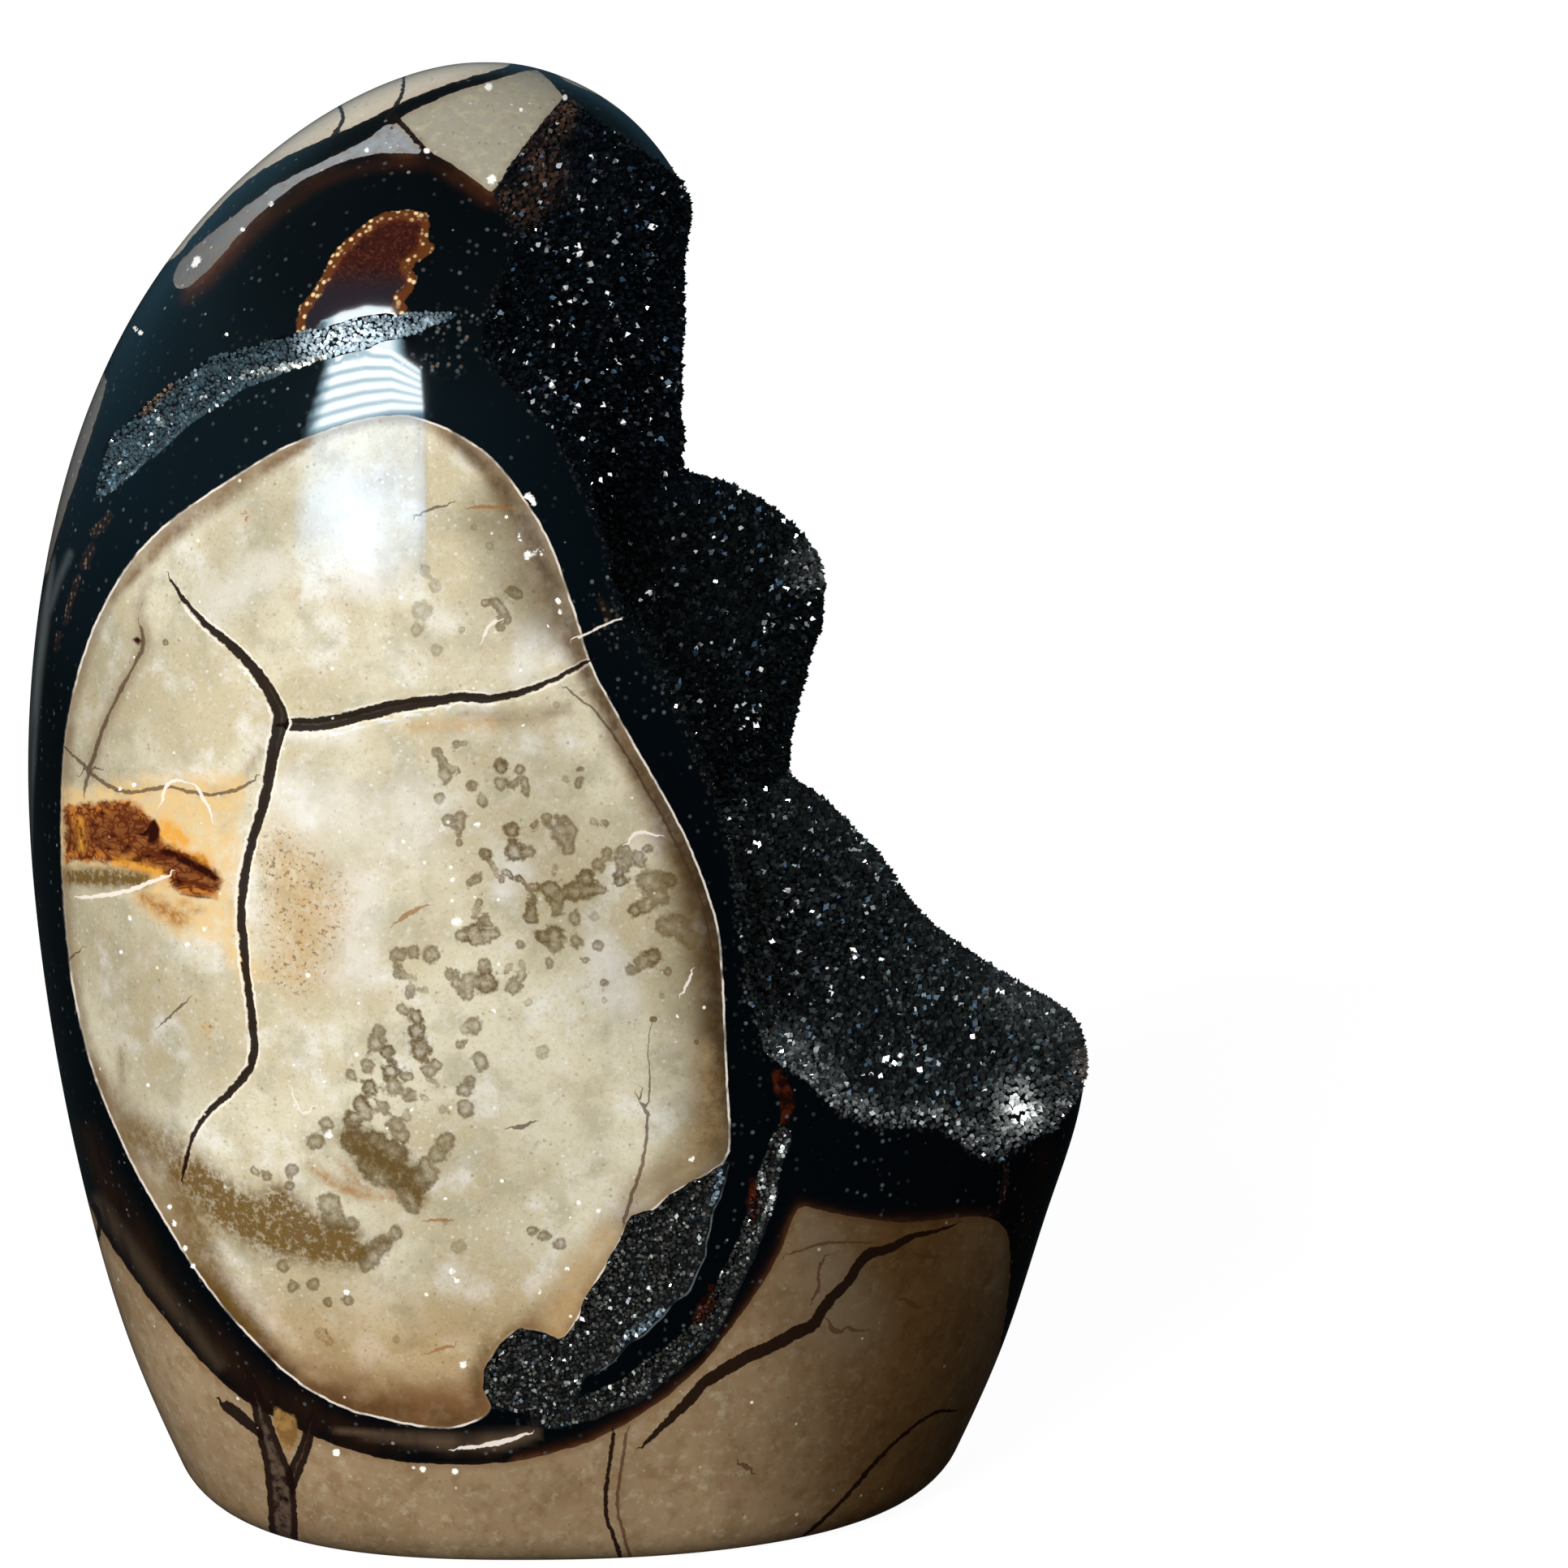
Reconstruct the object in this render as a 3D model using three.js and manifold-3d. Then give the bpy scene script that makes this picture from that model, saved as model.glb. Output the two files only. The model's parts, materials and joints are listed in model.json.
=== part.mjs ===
// A septarian nodule, ground and polished into a standing free-form and left open on one side,
// where a cavity lined with druse crystals shows. Millimetres, +Z up, -Y to the front. The origin
// is on the flat base, under the middle of the stone.
import * as THREE from 'three';
import { mergeVertices } from 'three/addons/utils/BufferGeometryUtils.js';
import Module from 'manifold-3d';

// The polished hull, from the base to the crown: height, x at the left, x of the middle line,
// x at the right, depth to the front and depth to the back.
const hullRings = [
  [0, -45.3, -4.8, 45.7, 36.5, 35],
  [18, -52.8, -6.3, 53.7, 40, 38],
  [36, -57.5, -8.3, 58.7, 42.5, 40.5],
  [54, -60.8, -9.8, 63.7, 44, 42],
  [72, -63, -10.3, 56.7, 44.5, 42],
  [90, -63.7, -10.3, 49.2, 44, 41],
  [108, -62.1, -10.3, 41, 42.5, 39],
  [125, -58.3, -10.3, 32.4, 39.5, 36],
  [141, -51.7, -10.3, 24.1, 34.5, 31],
  [155, -41.8, -9.8, 16.7, 27, 24.5],
  [165.3, -29.8, -9.3, 9.7, 17.5, 16],
  [171, -18.6, -8.6, 0.9, 9.5, 8.5],
  [173, -8.3, -8.3, -8.3, 0, 0],
];
const middleDepth = 1.2; // y of the middle line
const sectionPower = 2.3; // 2 is an ellipse, more is squarer
const footRadius = 5; // round edge between the flat base and the wall

// The cavity wall's distance from the middle line: height, to the right, at 45 degrees, to the front.
const cavityRings = [
  [30, 82, 60, 52],
  [44, 80, 56, 50],
  [53, 75, 51.5, 49],
  [60, 65.5, 46.5, 48],
  [68, 55, 43, 46],
  [76, 49.8, 40.5, 44],
  [82, 43.6, 37.5, 42],
  [88, 38, 35.3, 40],
  [97, 38.8, 34, 38.5],
  [107, 41.8, 30.5, 35],
  [115, 40.5, 25, 30],
  [120, 35.2, 20.8, 26],
  [124.5, 26.5, 20.5, 25.5],
  [129, 24.8, 22.5, 26],
  [144, 24.4, 24.5, 27],
  [158, 24.3, 23.5, 22],
  [168, 22, 20, 14],
  [178, 18, 14, 6],
];
// Lobes and hollows of the crystal lining: angle, height, spread in angle, spread in height, swell.
const cavitySwells = [
  [-36, 103, 20, 10, 5],
  [-62, 119, 15, 7, -3],
  [-22, 66, 16, 7, -1.5],
  [-50, 71, 9, 12, -2.5],
  [-20, 138, 14, 9, 1.2],
  [32, 93, 20, 13, 5],
  [50, 129, 18, 10, 3],
  [38, 70, 15, 8, -3],
];
const rimSlope = 5; // how far inside its rim the cavity takes to reach its depth
const leastDepth = 1.5; // the lining always lies this far under the polish
const backRimShift = 9; // the opening is narrower behind by this much
const clearOfHull = 0.6; // outside the rim the lining surface stands off the hull by this slope

// Outlines on the front are drawn on an upright sheet through the origin that leans back by
// sight.elevation, and are carried onto the stone along lines to a point sight.distance in front.
const sight = { elevation: 12, distance: 700, across: 26.55, up: 84.95 };
const cutterReach = [18, 110]; // how far in front of the sheet a cutter starts and ends

// The cavity's rim on that sheet, across and up, closed through the open air on the right.
const cavityRim = [
  [13, 160], [9, 163], [4.5, 166], [0.5, 169], [-1, 168.5], [-4.4, 165], [-6.6, 162], [-9.3, 157.5],
  [-6.5, 153.4], [-7.6, 148.5], [-9.3, 144.5], [-10.6, 141.5], [-10.6, 138], [-7.5, 134.2],
  [-1.7, 128], [2.5, 120], [4.5, 114.7], [5.1, 110], [6.7, 105.5], [9.7, 100.2], [12, 96.5],
  [14.4, 91.8], [16.7, 86], [18.5, 81.5], [20, 77.8], [20.5, 71.5], [21.5, 63.5], [23, 56.5],
  [24.3, 51.5], [28.5, 49], [31, 46.5], [34, 44], [38, 42.5], [45, 42.7], [48, 41], [51, 38.7],
  [53.5, 38.5], [56, 40.5], [60, 42.3], [63, 47], [64, 51.5], [80, 60], [80, 170], [18, 170],
];

// Shallow places in the polished front where crystals or a crack lie under the surface.
// A band has a middle line, a width and a depth; the patch has an outline and a depth.
const upperBand = {
  line: [[-57.5, 121], [-54, 126.5], [-49, 131], [-42, 135.5], [-35, 138], [-30, 139.3], [-22, 141.3],
    [-14, 142.8]],
  width: 4.6,
  depth: 1.2,
};
const lowerBand = {
  line: [[28.3, 46.8], [26, 39], [24, 32], [22, 24], [18, 17], [12, 11.5], [4, 7.5], [-5, 7]],
  width: 3.4,
  depth: 1.2,
};
const lowerPatch = {
  outline: [[20, 37.5], [17, 35.5], [11, 32.5], [8, 31.5], [6, 26], [3, 20.5], [0, 16.5], [-3, 15.5],
    [-6, 17.5], [-9, 16], [-10.3, 12], [-9, 8.5], [-4, 8], [3, 10.5], [9, 14], [14, 19], [18, 26],
    [20.5, 32]],
  depth: 1.3,
};
const mainCrack = {
  line: [[-49, 110], [-46, 105.5], [-41, 101.5], [-37.5, 97.5], [-35.6, 92.5], [-36.5, 88.5],
    [-37.5, 82.5], [-39.5, 76.5], [-40.5, 69.5], [-40, 63.5], [-39.3, 57.5], [-38.5, 51], [-41, 47.5],
    [-44.5, 44.5]],
  width: 1.5,
  depth: 0.8,
};
const crossCrack = {
  line: [[-35.6, 92.5], [-30, 92.3], [-25, 93.5], [-20, 94.8], [-14, 95.4], [-10, 95.3], [-6, 96],
    [-2, 97.5]],
  width: 1.4,
  depth: 0.8,
};

// Fineness of the surfaces
const aroundSteps = 60;
const footSteps = 4;
const wallSteps = 36;
const cavityAroundSteps = 92;
const cavityRowHeight = 3;
const cavityFloor = 28;
const cavityTop = 180;
const outlineSteps = 1.3; // points per given point along a band

const wasm = await Module();
wasm.setup();

const crown = hullRings.length - 1;
const [crownHeight, , crownX] = hullRings[crown];

// A cubic B-spline whose control points are set so that it runs through the rings. The crown's
// ring is mirrored, which makes the top flat there.
function ringAt(station) {
  const ring = (i) => {
    if (i < 0) return hullRings[0].map((v, k) => (1 - i) * v + i * hullRings[1][k]);
    if (i > crown) return hullRings[2 * crown - i].map((v, k) => (k ? 2 * hullRings[crown][k] - v : v));
    return hullRings[i];
  };
  const control = (i) => ring(i).map((v, k) => v - (ring(i - 1)[k] - 2 * v + ring(i + 1)[k]) / 6);
  const i = Math.min(Math.floor(station), crown - 1);
  const f = station - i;
  const weights = [(1 - f) ** 3, 3 * f ** 3 - 6 * f ** 2 + 4, -3 * f ** 3 + 3 * f ** 2 + 3 * f + 1, f ** 3];
  const points = [control(i - 1), control(i), control(i + 1), control(i + 2)];
  return hullRings[0].map((_, k) => weights.reduce((sum, w, j) => sum + w * points[j][k], 0) / 6);
}

const baseHeight = ringAt(0)[0];

// Radius of a ring in one direction: a superellipse with its own reach on each of its four sides.
function sectionRadius(ring, angle) {
  const [, left, middle, right, front, back] = ring;
  const across = (right - left) / 2 + ((right + left) / 2 - middle) * Math.cos(angle);
  const deep = (front + back) / 2 - ((front - back) / 2) * Math.sin(angle);
  const sum = Math.abs(Math.cos(angle) / across) ** sectionPower
    + Math.abs(Math.sin(angle) / deep) ** sectionPower;
  return sum ** (-1 / sectionPower);
}

function footInset(height) {
  const up = Math.min(height / footRadius, 1);
  return footRadius * (1 - Math.sqrt(1 - (1 - up) ** 2));
}

// The point of the hull at a station and an angle, sunk under the polish by some depth.
function hullPoint(station, angle, sunk = 0) {
  const ring = ringAt(station);
  const height = Math.max(ring[0] - baseHeight, 0);
  const radius = Math.max(sectionRadius(ring, angle) - footInset(height) - sunk, 0);
  return [ring[2] + radius * Math.cos(angle), middleDepth + radius * Math.sin(angle), height];
}

function stationAt(height) {
  let low = 0;
  let high = crown;
  for (let i = 0; i < 30; i += 1) {
    const half = (low + high) / 2;
    if (ringAt(half)[0] - baseHeight < height) low = half;
    else high = half;
  }
  return (low + high) / 2;
}

// Smooth values between the rows of a table whose first column is the height.
function tableAt(table, height) {
  const last = table.length - 1;
  let i = 0;
  while (i < last - 1 && table[i + 1][0] < height) i += 1;
  const slope = (j, k) => {
    const a = table[Math.max(j - 1, 0)];
    const b = table[Math.min(j + 1, last)];
    return (b[k] - a[k]) / (b[0] - a[0]);
  };
  const span = table[i + 1][0] - table[i][0];
  const f = Math.min(Math.max((height - table[i][0]) / span, 0), 1);
  return table[i].slice(1).map((v, n) => {
    const k = n + 1;
    return (2 * f ** 3 - 3 * f ** 2 + 1) * v + (f ** 3 - 2 * f ** 2 + f) * span * slope(i, k)
      + (3 * f ** 2 - 2 * f ** 3) * table[i + 1][k] + (f ** 3 - f ** 2) * span * slope(i + 1, k);
  });
}

// Where the line from the sight point through a point of the stone meets the drawing sheet.
function onSheet([x, y, z]) {
  const lean = THREE.MathUtils.degToRad(sight.elevation);
  const up = z * Math.cos(lean) + y * Math.sin(lean);
  const behind = y * Math.cos(lean) - z * Math.sin(lean);
  const scale = sight.distance / (sight.distance + behind);
  return [sight.across + (x - sight.across) * scale, sight.up + (up - sight.up) * scale];
}

// Distance from a point to a closed outline, positive inside it.
function insideBy(outline, [x, y]) {
  let nearest = Infinity;
  let inside = false;
  outline.forEach(([ax, ay], i) => {
    const [bx, by] = outline[(i + 1) % outline.length];
    const along = ((x - ax) * (bx - ax) + (y - ay) * (by - ay)) / ((bx - ax) ** 2 + (by - ay) ** 2);
    const f = Math.min(Math.max(along, 0), 1);
    nearest = Math.min(nearest, Math.hypot(x - ax - f * (bx - ax), y - ay - f * (by - ay)));
    if (ay <= y !== by <= y && x < ax + ((y - ay) * (bx - ax)) / (by - ay)) inside = !inside;
  });
  return inside ? nearest : -nearest;
}

// Distance of the cavity wall from the middle line, by height and angle.
function cavityRadius(height, angle) {
  const [right, diagonal, front] = tableAt(cavityRings, height);
  const even = right * Math.cos(angle) ** 2 + front * Math.sin(angle) ** 2;
  const radius = even + (diagonal - (right + front) / 2) * Math.sin(2 * angle) ** 2;
  return cavitySwells.reduce((sum, [at, level, spread, tall, swell]) => {
    const off = (THREE.MathUtils.radToDeg(angle) - at) / spread;
    return sum + swell * Math.exp(-(off ** 2) - ((height - level) / tall) ** 2);
  }, radius);
}

// The lined surface: outside the rim it stands off the hull, inside it sinks to the cavity wall.
function linedPoint(height, turn) {
  const angle = turn > Math.PI ? turn - 2 * Math.PI : turn;
  const ring = ringAt(stationAt(height));
  const radius = height > crownHeight ? 0 : sectionRadius(ring, angle);
  const shift = angle > 0 ? backRimShift * Math.sin(angle) : 0;
  const seenX = ring[2] + radius * Math.cos(angle) - shift;
  const seenY = middleDepth - Math.abs(radius * Math.sin(angle));
  const inside = insideBy(cavityRim, onSheet([seenX, seenY, height]));
  const depth = Math.max(radius - cavityRadius(height, angle), leastDepth);
  const sink = inside > 0 ? depth * (1 - Math.exp(-inside / rimSlope)) : clearOfHull * inside;
  const lined = radius - sink;
  return [ring[2] + lined * Math.cos(angle), middleDepth + lined * Math.sin(angle), height];
}

function solidOf(geometry) {
  const bare = geometry.clone();
  bare.deleteAttribute('normal');
  bare.deleteAttribute('uv');
  const merged = mergeVertices(bare, 1e-5);
  return new wasm.Manifold(new wasm.Mesh({
    numProp: 3,
    vertProperties: new Float32Array(merged.attributes.position.array),
    triVerts: new Uint32Array(merged.index.array),
  }));
}

// A closed surface from a sphere geometry: each row of its vertices, counted from the bottom,
// is moved to pointAt(row, angle).
function closedSurface(around, rows, pointAt) {
  const sphere = new THREE.SphereGeometry(1, around, rows);
  const { position } = sphere.attributes;
  for (let i = 0; i < position.count; i += 1) {
    const row = rows - Math.floor(i / (around + 1));
    const step = (i % (around + 1)) % around;
    position.setXYZ(i, ...pointAt(row, (2 * Math.PI * step) / around));
  }
  return solidOf(sphere);
}

function hullSolid(sunk = 0) {
  const footTop = footRadius / hullRings[1][0];
  const rows = footSteps + wallSteps + 1;
  return closedSurface(aroundSteps, rows, (row, angle) => {
    if (row === 0) return [hullRings[0][2], middleDepth, 0];
    if (row <= footSteps) {
      const turn = ((row - 1) / footSteps) * (Math.PI / 2);
      return hullPoint(footTop * (1 - Math.cos(turn)), angle, sunk);
    }
    if (row === rows) return [crownX, middleDepth, ringAt(crown)[0] - baseHeight - sunk];
    const f = (row - 1 - footSteps) / wallSteps;
    return hullPoint(footTop + f * (crown - footTop), angle, sunk);
  });
}

function linedSolid() {
  const rows = Math.round((cavityTop - cavityFloor) / cavityRowHeight) + 2;
  return closedSurface(cavityAroundSteps, rows, (row, angle) => {
    if (row === 0) return [hullRings[0][2], middleDepth, -5];
    if (row === 1) {
      const [x, y] = linedPoint(cavityFloor, angle);
      return [x, y, -5];
    }
    if (row === rows) return [crownX, middleDepth, cavityTop];
    return linedPoint(cavityFloor + ((row - 2) / (rows - 2)) * (cavityTop - cavityFloor), angle);
  });
}

// The outline of a band: its middle line, offset to both sides, tapering at its ends.
function bandOutline({ line, width }) {
  const curve = new THREE.SplineCurve(line.map(([x, y]) => new THREE.Vector2(x, y)));
  const steps = Math.round(line.length * outlineSteps);
  const side = (sign) => Array.from({ length: steps + 1 }, (_, i) => {
    const t = i / steps;
    const half = sign * (width / 2) * Math.min(1, 0.25 + 4 * Math.min(t, 1 - t));
    const tangent = curve.getTangent(t);
    const point = curve.getPoint(t);
    return [point.x - tangent.y * half, point.y + tangent.x * half];
  });
  return [...side(-1), ...side(1).reverse()];
}

// The prism over an outline, narrowing towards the sight point.
function prismOf(outline) {
  const shape = new THREE.Shape(outline.map(([x, y]) => new THREE.Vector2(x, y)));
  const prism = new THREE.ExtrudeGeometry(shape, { depth: 1, bevelEnabled: false });
  const lean = THREE.MathUtils.degToRad(sight.elevation);
  const { position } = prism.attributes;
  for (let i = 0; i < position.count; i += 1) {
    const ahead = cutterReach[position.getZ(i)];
    const scale = (sight.distance - ahead) / sight.distance;
    const x = sight.across + (position.getX(i) - sight.across) * scale;
    const up = sight.up + (position.getY(i) - sight.up) * scale;
    const y = up * Math.sin(lean) - ahead * Math.cos(lean);
    position.setXYZ(i, x, y, up * Math.cos(lean) + ahead * Math.sin(lean));
  }
  return solidOf(prism);
}

function recess(outline, depth) {
  return prismOf(outline).subtract(hullSolid(depth));
}

function noduleSolid() {
  let stone = hullSolid().intersect(linedSolid());
  [upperBand, lowerBand, mainCrack, crossCrack].forEach((band) => {
    stone = stone.subtract(recess(bandOutline(band), band.depth));
  });
  return stone.subtract(recess(lowerPatch.outline, lowerPatch.depth));
}

function geometryOf(solid) {
  const { vertProperties, triVerts } = solid.getMesh();
  const geometry = new THREE.BufferGeometry();
  geometry.setAttribute('position', new THREE.BufferAttribute(vertProperties, 3));
  geometry.setIndex(new THREE.BufferAttribute(triVerts, 1));
  geometry.computeVertexNormals();
  return geometry;
}

const stoneMaterial = new THREE.MeshStandardMaterial({ color: 0xb3a688, roughness: 0.18, metalness: 0 });

const nodule = new THREE.Mesh(geometryOf(noduleSolid()), stoneMaterial);
nodule.name = 'septarian_nodule';

const group = new THREE.Group();
group.add(nodule);

export default group;
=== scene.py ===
import json
import math

import bpy
import numpy as np
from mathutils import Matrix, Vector

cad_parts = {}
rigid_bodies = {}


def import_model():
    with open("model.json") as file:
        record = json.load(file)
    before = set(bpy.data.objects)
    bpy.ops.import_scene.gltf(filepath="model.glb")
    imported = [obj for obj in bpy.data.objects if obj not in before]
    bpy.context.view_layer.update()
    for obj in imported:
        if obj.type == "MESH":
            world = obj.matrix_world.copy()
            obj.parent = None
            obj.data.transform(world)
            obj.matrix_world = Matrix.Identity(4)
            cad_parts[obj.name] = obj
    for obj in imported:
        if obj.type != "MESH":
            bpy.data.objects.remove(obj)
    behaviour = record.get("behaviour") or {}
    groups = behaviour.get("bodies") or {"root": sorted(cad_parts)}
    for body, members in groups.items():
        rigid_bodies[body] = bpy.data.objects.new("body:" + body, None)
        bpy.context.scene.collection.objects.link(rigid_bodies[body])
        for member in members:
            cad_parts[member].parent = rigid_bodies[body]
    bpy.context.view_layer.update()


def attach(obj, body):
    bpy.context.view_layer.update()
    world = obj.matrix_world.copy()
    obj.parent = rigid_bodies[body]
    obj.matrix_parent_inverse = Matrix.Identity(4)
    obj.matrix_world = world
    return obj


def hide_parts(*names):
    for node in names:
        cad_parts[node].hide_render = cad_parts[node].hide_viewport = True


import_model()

mm = 0.001
far = 9.0  # millimetres, well away from any drawn edge
scene = bpy.context.scene


def pin(values, low=0.0, high=1.0):
    return np.clip(values, low, high)


def ease(values, low, high):
    # 0 below low, 1 above high, with a smooth S between them
    f = pin((values - low) / (high - low))
    return f * f * (3 - 2 * f)


cubeCorners = np.array([[n & 1, n >> 1 & 1, n >> 2] for n in range(8)])


def softNoise(points, size, seed, lattice=24):
    # random values on a cubic lattice that repeats, eased between its corners: -1 to 1, lumps as
    # large as size
    table = np.random.default_rng(seed).uniform(-1, 1, (lattice, lattice, lattice))
    place = points / size
    cell = np.floor(place).astype(int)
    f = place - cell
    f = f * f * (3 - 2 * f)
    total = np.zeros(points.shape[:-1])
    for step in cubeCorners:
        weight = np.ones(points.shape[:-1])
        for axis in range(3):
            weight = weight * (f[..., axis] if step[axis] else 1 - f[..., axis])
        total += weight * table[tuple((cell[..., axis] + step[axis]) % lattice for axis in range(3))]
    return total


stone = {
    # height, x at the left, of the middle line and at the right, depth to the front and to the back
    "rings": np.array([
        [0, -45.3, -4.8, 45.7, 36.5, 35], [18, -52.8, -6.3, 53.7, 40, 38],
        [36, -57.5, -8.3, 58.7, 42.5, 40.5], [54, -60.8, -9.8, 63.7, 44, 42],
        [72, -63, -10.3, 56.7, 44.5, 42], [90, -63.7, -10.3, 49.2, 44, 41],
        [108, -62.1, -10.3, 41, 42.5, 39], [125, -58.3, -10.3, 32.4, 39.5, 36],
        [141, -51.7, -10.3, 24.1, 34.5, 31], [155, -41.8, -9.8, 16.7, 27, 24.5],
        [165.3, -29.8, -9.3, 9.7, 17.5, 16], [171, -18.6, -8.6, 0.9, 9.5, 8.5],
        [173, -8.3, -8.3, -8.3, 0, 0]]),
    "middleDepth": 1.2,
    "sectionPower": 2.3,  # 2 is an ellipse, more is squarer
    "footRadius": 5.0,
    "rowStep": 0.8,
    "frontStep": 0.76,
    "backStep": 1.3,
    "undersideRows": 6,
    # how far the surface faces the eye, 1 straight at it: where bands and cracks are cut, where the
    # back's drawing gives way to the front's, and where the painted sheen sets in
    "frontFacing": -0.1,
    "hiddenFacing": (-0.32, -0.03),
    "paintedSheenFacing": (-0.14, 0.0),
    "snapReach": 0.55,  # share of a grid step within which points move onto an edge
    "edgeSlack": 0.06,  # places as near as this to an edge count as on it
    "sharpAngle": math.radians(38),
    # noises as height, size and seed: of the recesses' edges and of their floors
    "edgeWaver": (0.35, 1.9, 5),
    "floorWaver": (0.25, 1.6, 14),
}
cavity = {
    # height, distance of the wall from the middle line to the right, at 45 degrees and to the front
    "rings": np.array([
        [30, 82, 60, 52], [44, 80, 56, 50], [53, 75, 51.5, 49], [60, 63.4, 46.5, 48], [68, 54, 43, 46],
        [76, 49.4, 40.5, 44], [82, 42.8, 37.5, 42], [86, 36.9, 35.3, 40], [97, 37.8, 34, 38.5],
        [107, 41.2, 30.5, 35], [113.6, 41, 25, 30], [118.6, 37, 20.8, 26], [122.2, 31.2, 20.5, 25.5],
        [123.6, 25.6, 20.8, 25.5], [127.5, 24.6, 22.5, 26], [144, 24.4, 24.5, 27], [158, 24.3, 23.5, 22],
        [168, 22, 20, 14], [178, 18, 14, 6]]),
    # angle, height, spread in angle, spread in height, swell
    "swells": [
        [-36, 103, 20, 10, 5], [-62, 119, 15, 7, -3], [-22, 66, 16, 7, -1.5], [-50, 71, 9, 12, -2.5],
        [-20, 138, 14, 9, 1.2], [32, 93, 20, 13, 5], [50, 129, 18, 10, 3], [38, 70, 15, 8, -3]],
    "rimSlope": 5.0,
    "leastDepth": 1.5,
    "backRimShift": 9.0,
    # height, size and seed of the wall's lumps
    "lumps": [[0.5, 7.5, 11], [0.35, 3.4, 12], [0.25, 1.7, 13]],
    "lumpShift": 0.3,
    # across and up on the drawing sheet
    "rim": np.array([
        [13, 160], [9, 163], [4.5, 166], [0.5, 169], [-1, 168.5], [-4.4, 165], [-6.6, 162], [-9.3, 157.5],
        [-6.5, 153.4], [-7.6, 148.5], [-9.3, 144.5], [-10.6, 141.5], [-10.6, 138], [-7.5, 134.2],
        [-1.7, 128], [2.5, 120], [4.5, 114.7], [5.1, 110], [6.7, 105.5], [9.7, 100.2], [12, 96.5],
        [14.4, 91.8], [16.7, 86], [18.5, 81.5], [20, 77.8], [20.5, 71.5], [21.5, 63.5], [23, 56.5],
        [24.3, 51.5], [28.5, 49], [31, 46.5], [34, 44], [38, 42.5], [45, 42.7], [48, 41], [51, 38.7],
        [53.5, 38.5], [56, 40.5], [60, 42.3], [63, 47], [64, 51.5], [80, 60], [80, 170], [18, 170]]),
}
# The front is drawn on a sheet that leans back as far as the view looks down, and the drawing is
# carried to the stone along lines to one sight point. Its marks are in tenths of a millimetre, to
# the right and down from the sheet's corner.
sight = {
    "lean": math.radians(12), "distance": 700.0, "across": 26.55, "up": 84.95, "corner": (-70.05, 181.55),
    "aim": (26.55, 17.66, 83.09), "frameWidth": 193.2,
}
toEye = np.array([0, -math.cos(sight["lean"]), math.sin(sight["lean"])])


def fromCorner(marks):
    drawn = np.array(marks, float)
    across = sight["corner"][0] + drawn[:, 0] / 10
    up = sight["corner"][1] - drawn[:, 1] / 10
    return np.stack([across, up], -1)


def onSheet(points):
    # where the line from the sight point through each point meets the sheet
    lean = sight["lean"]
    up = points[..., 2] * math.cos(lean) + points[..., 1] * math.sin(lean)
    scale = sight["distance"] / (sight["distance"] - points @ toEye)
    across = sight["across"] + (points[..., 0] - sight["across"]) * scale
    return np.stack([across, sight["up"] + (up - sight["up"]) * scale], -1)


def distances(line, points, closed):
    # for each point: distance to the nearest stretch, which side of it the point is on, and how
    # far along the whole line that place is, counted in stretches
    ends = np.roll(line, -1, 0) if closed else line[1:]
    nearest = np.full(points.shape[:-1], 1e9)
    side = np.zeros(points.shape[:-1])
    along = np.zeros(points.shape[:-1])
    inside = np.zeros(points.shape[:-1], bool)
    for n, (start, end) in enumerate(zip(line, ends)):
        run = end - start
        off = points - start
        f = pin((off @ run) / (run @ run))
        gap = np.hypot(off[..., 0] - f * run[0], off[..., 1] - f * run[1])
        cross = run[0] * off[..., 1] - run[1] * off[..., 0]
        closer = gap < nearest
        nearest = np.where(closer, gap, nearest)
        side = np.where(closer, np.sign(cross), side)
        along = np.where(closer, n + f, along)
        spans = (start[1] <= points[..., 1]) != (end[1] <= points[..., 1])
        reach = start[0] + (points[..., 1] - start[1]) * run[0] / (run[1] if run[1] else 1e-9)
        inside ^= spans & (points[..., 0] < reach)
    if closed:
        side = np.where(inside, 1, -1)
    return nearest, side, along


def rounded(line, closed, times=1):
    # each pass cuts the corners a quarter of the way along their sides
    for _ in range(times):
        ends = np.roll(line, -1, 0) if closed else line[1:]
        starts = line if closed else line[:-1]
        cut = np.stack([starts * 0.75 + ends * 0.25, starts * 0.25 + ends * 0.75], 1)
        cut = cut.reshape(-1, line.shape[1])
        line = cut if closed else np.concatenate([line[:1], cut, line[-1:]])
    return line


def valueAlong(values, along):
    # a line's values at places along it
    return np.interp(along, np.arange(len(values)), values)


def insideBy(outline, points):
    # distance to a closed outline, positive inside it
    nearest, side, _ = distances(outline, points, True)
    return nearest * side


def ringAt(station):
    # cubic B-spline through the rings: a ring less a sixth of its second difference is its control
    # point. The base goes on straight, and the crown is mirrored, which makes the top flat there.
    table = stone["rings"]
    first = 2 * table[0] - table[1]
    last = 2 * table[-1] - table[-2]
    last[0] = table[-2, 0]
    padded = np.vstack([2 * first - table[0], first, table, last, 2 * last - table[-1]])
    control = padded[1:-1] - (padded[:-2] - 2 * padded[1:-1] + padded[2:]) / 6
    i = pin(np.floor(station).astype(int), 0, len(table) - 2)
    f = (station - i)[..., None]
    return ((1 - f) ** 3 * control[i] + (3 * f ** 3 - 6 * f ** 2 + 4) * control[i + 1]
            + (-3 * f ** 3 + 3 * f ** 2 + 3 * f + 1) * control[i + 2] + f ** 3 * control[i + 3]) / 6


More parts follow.
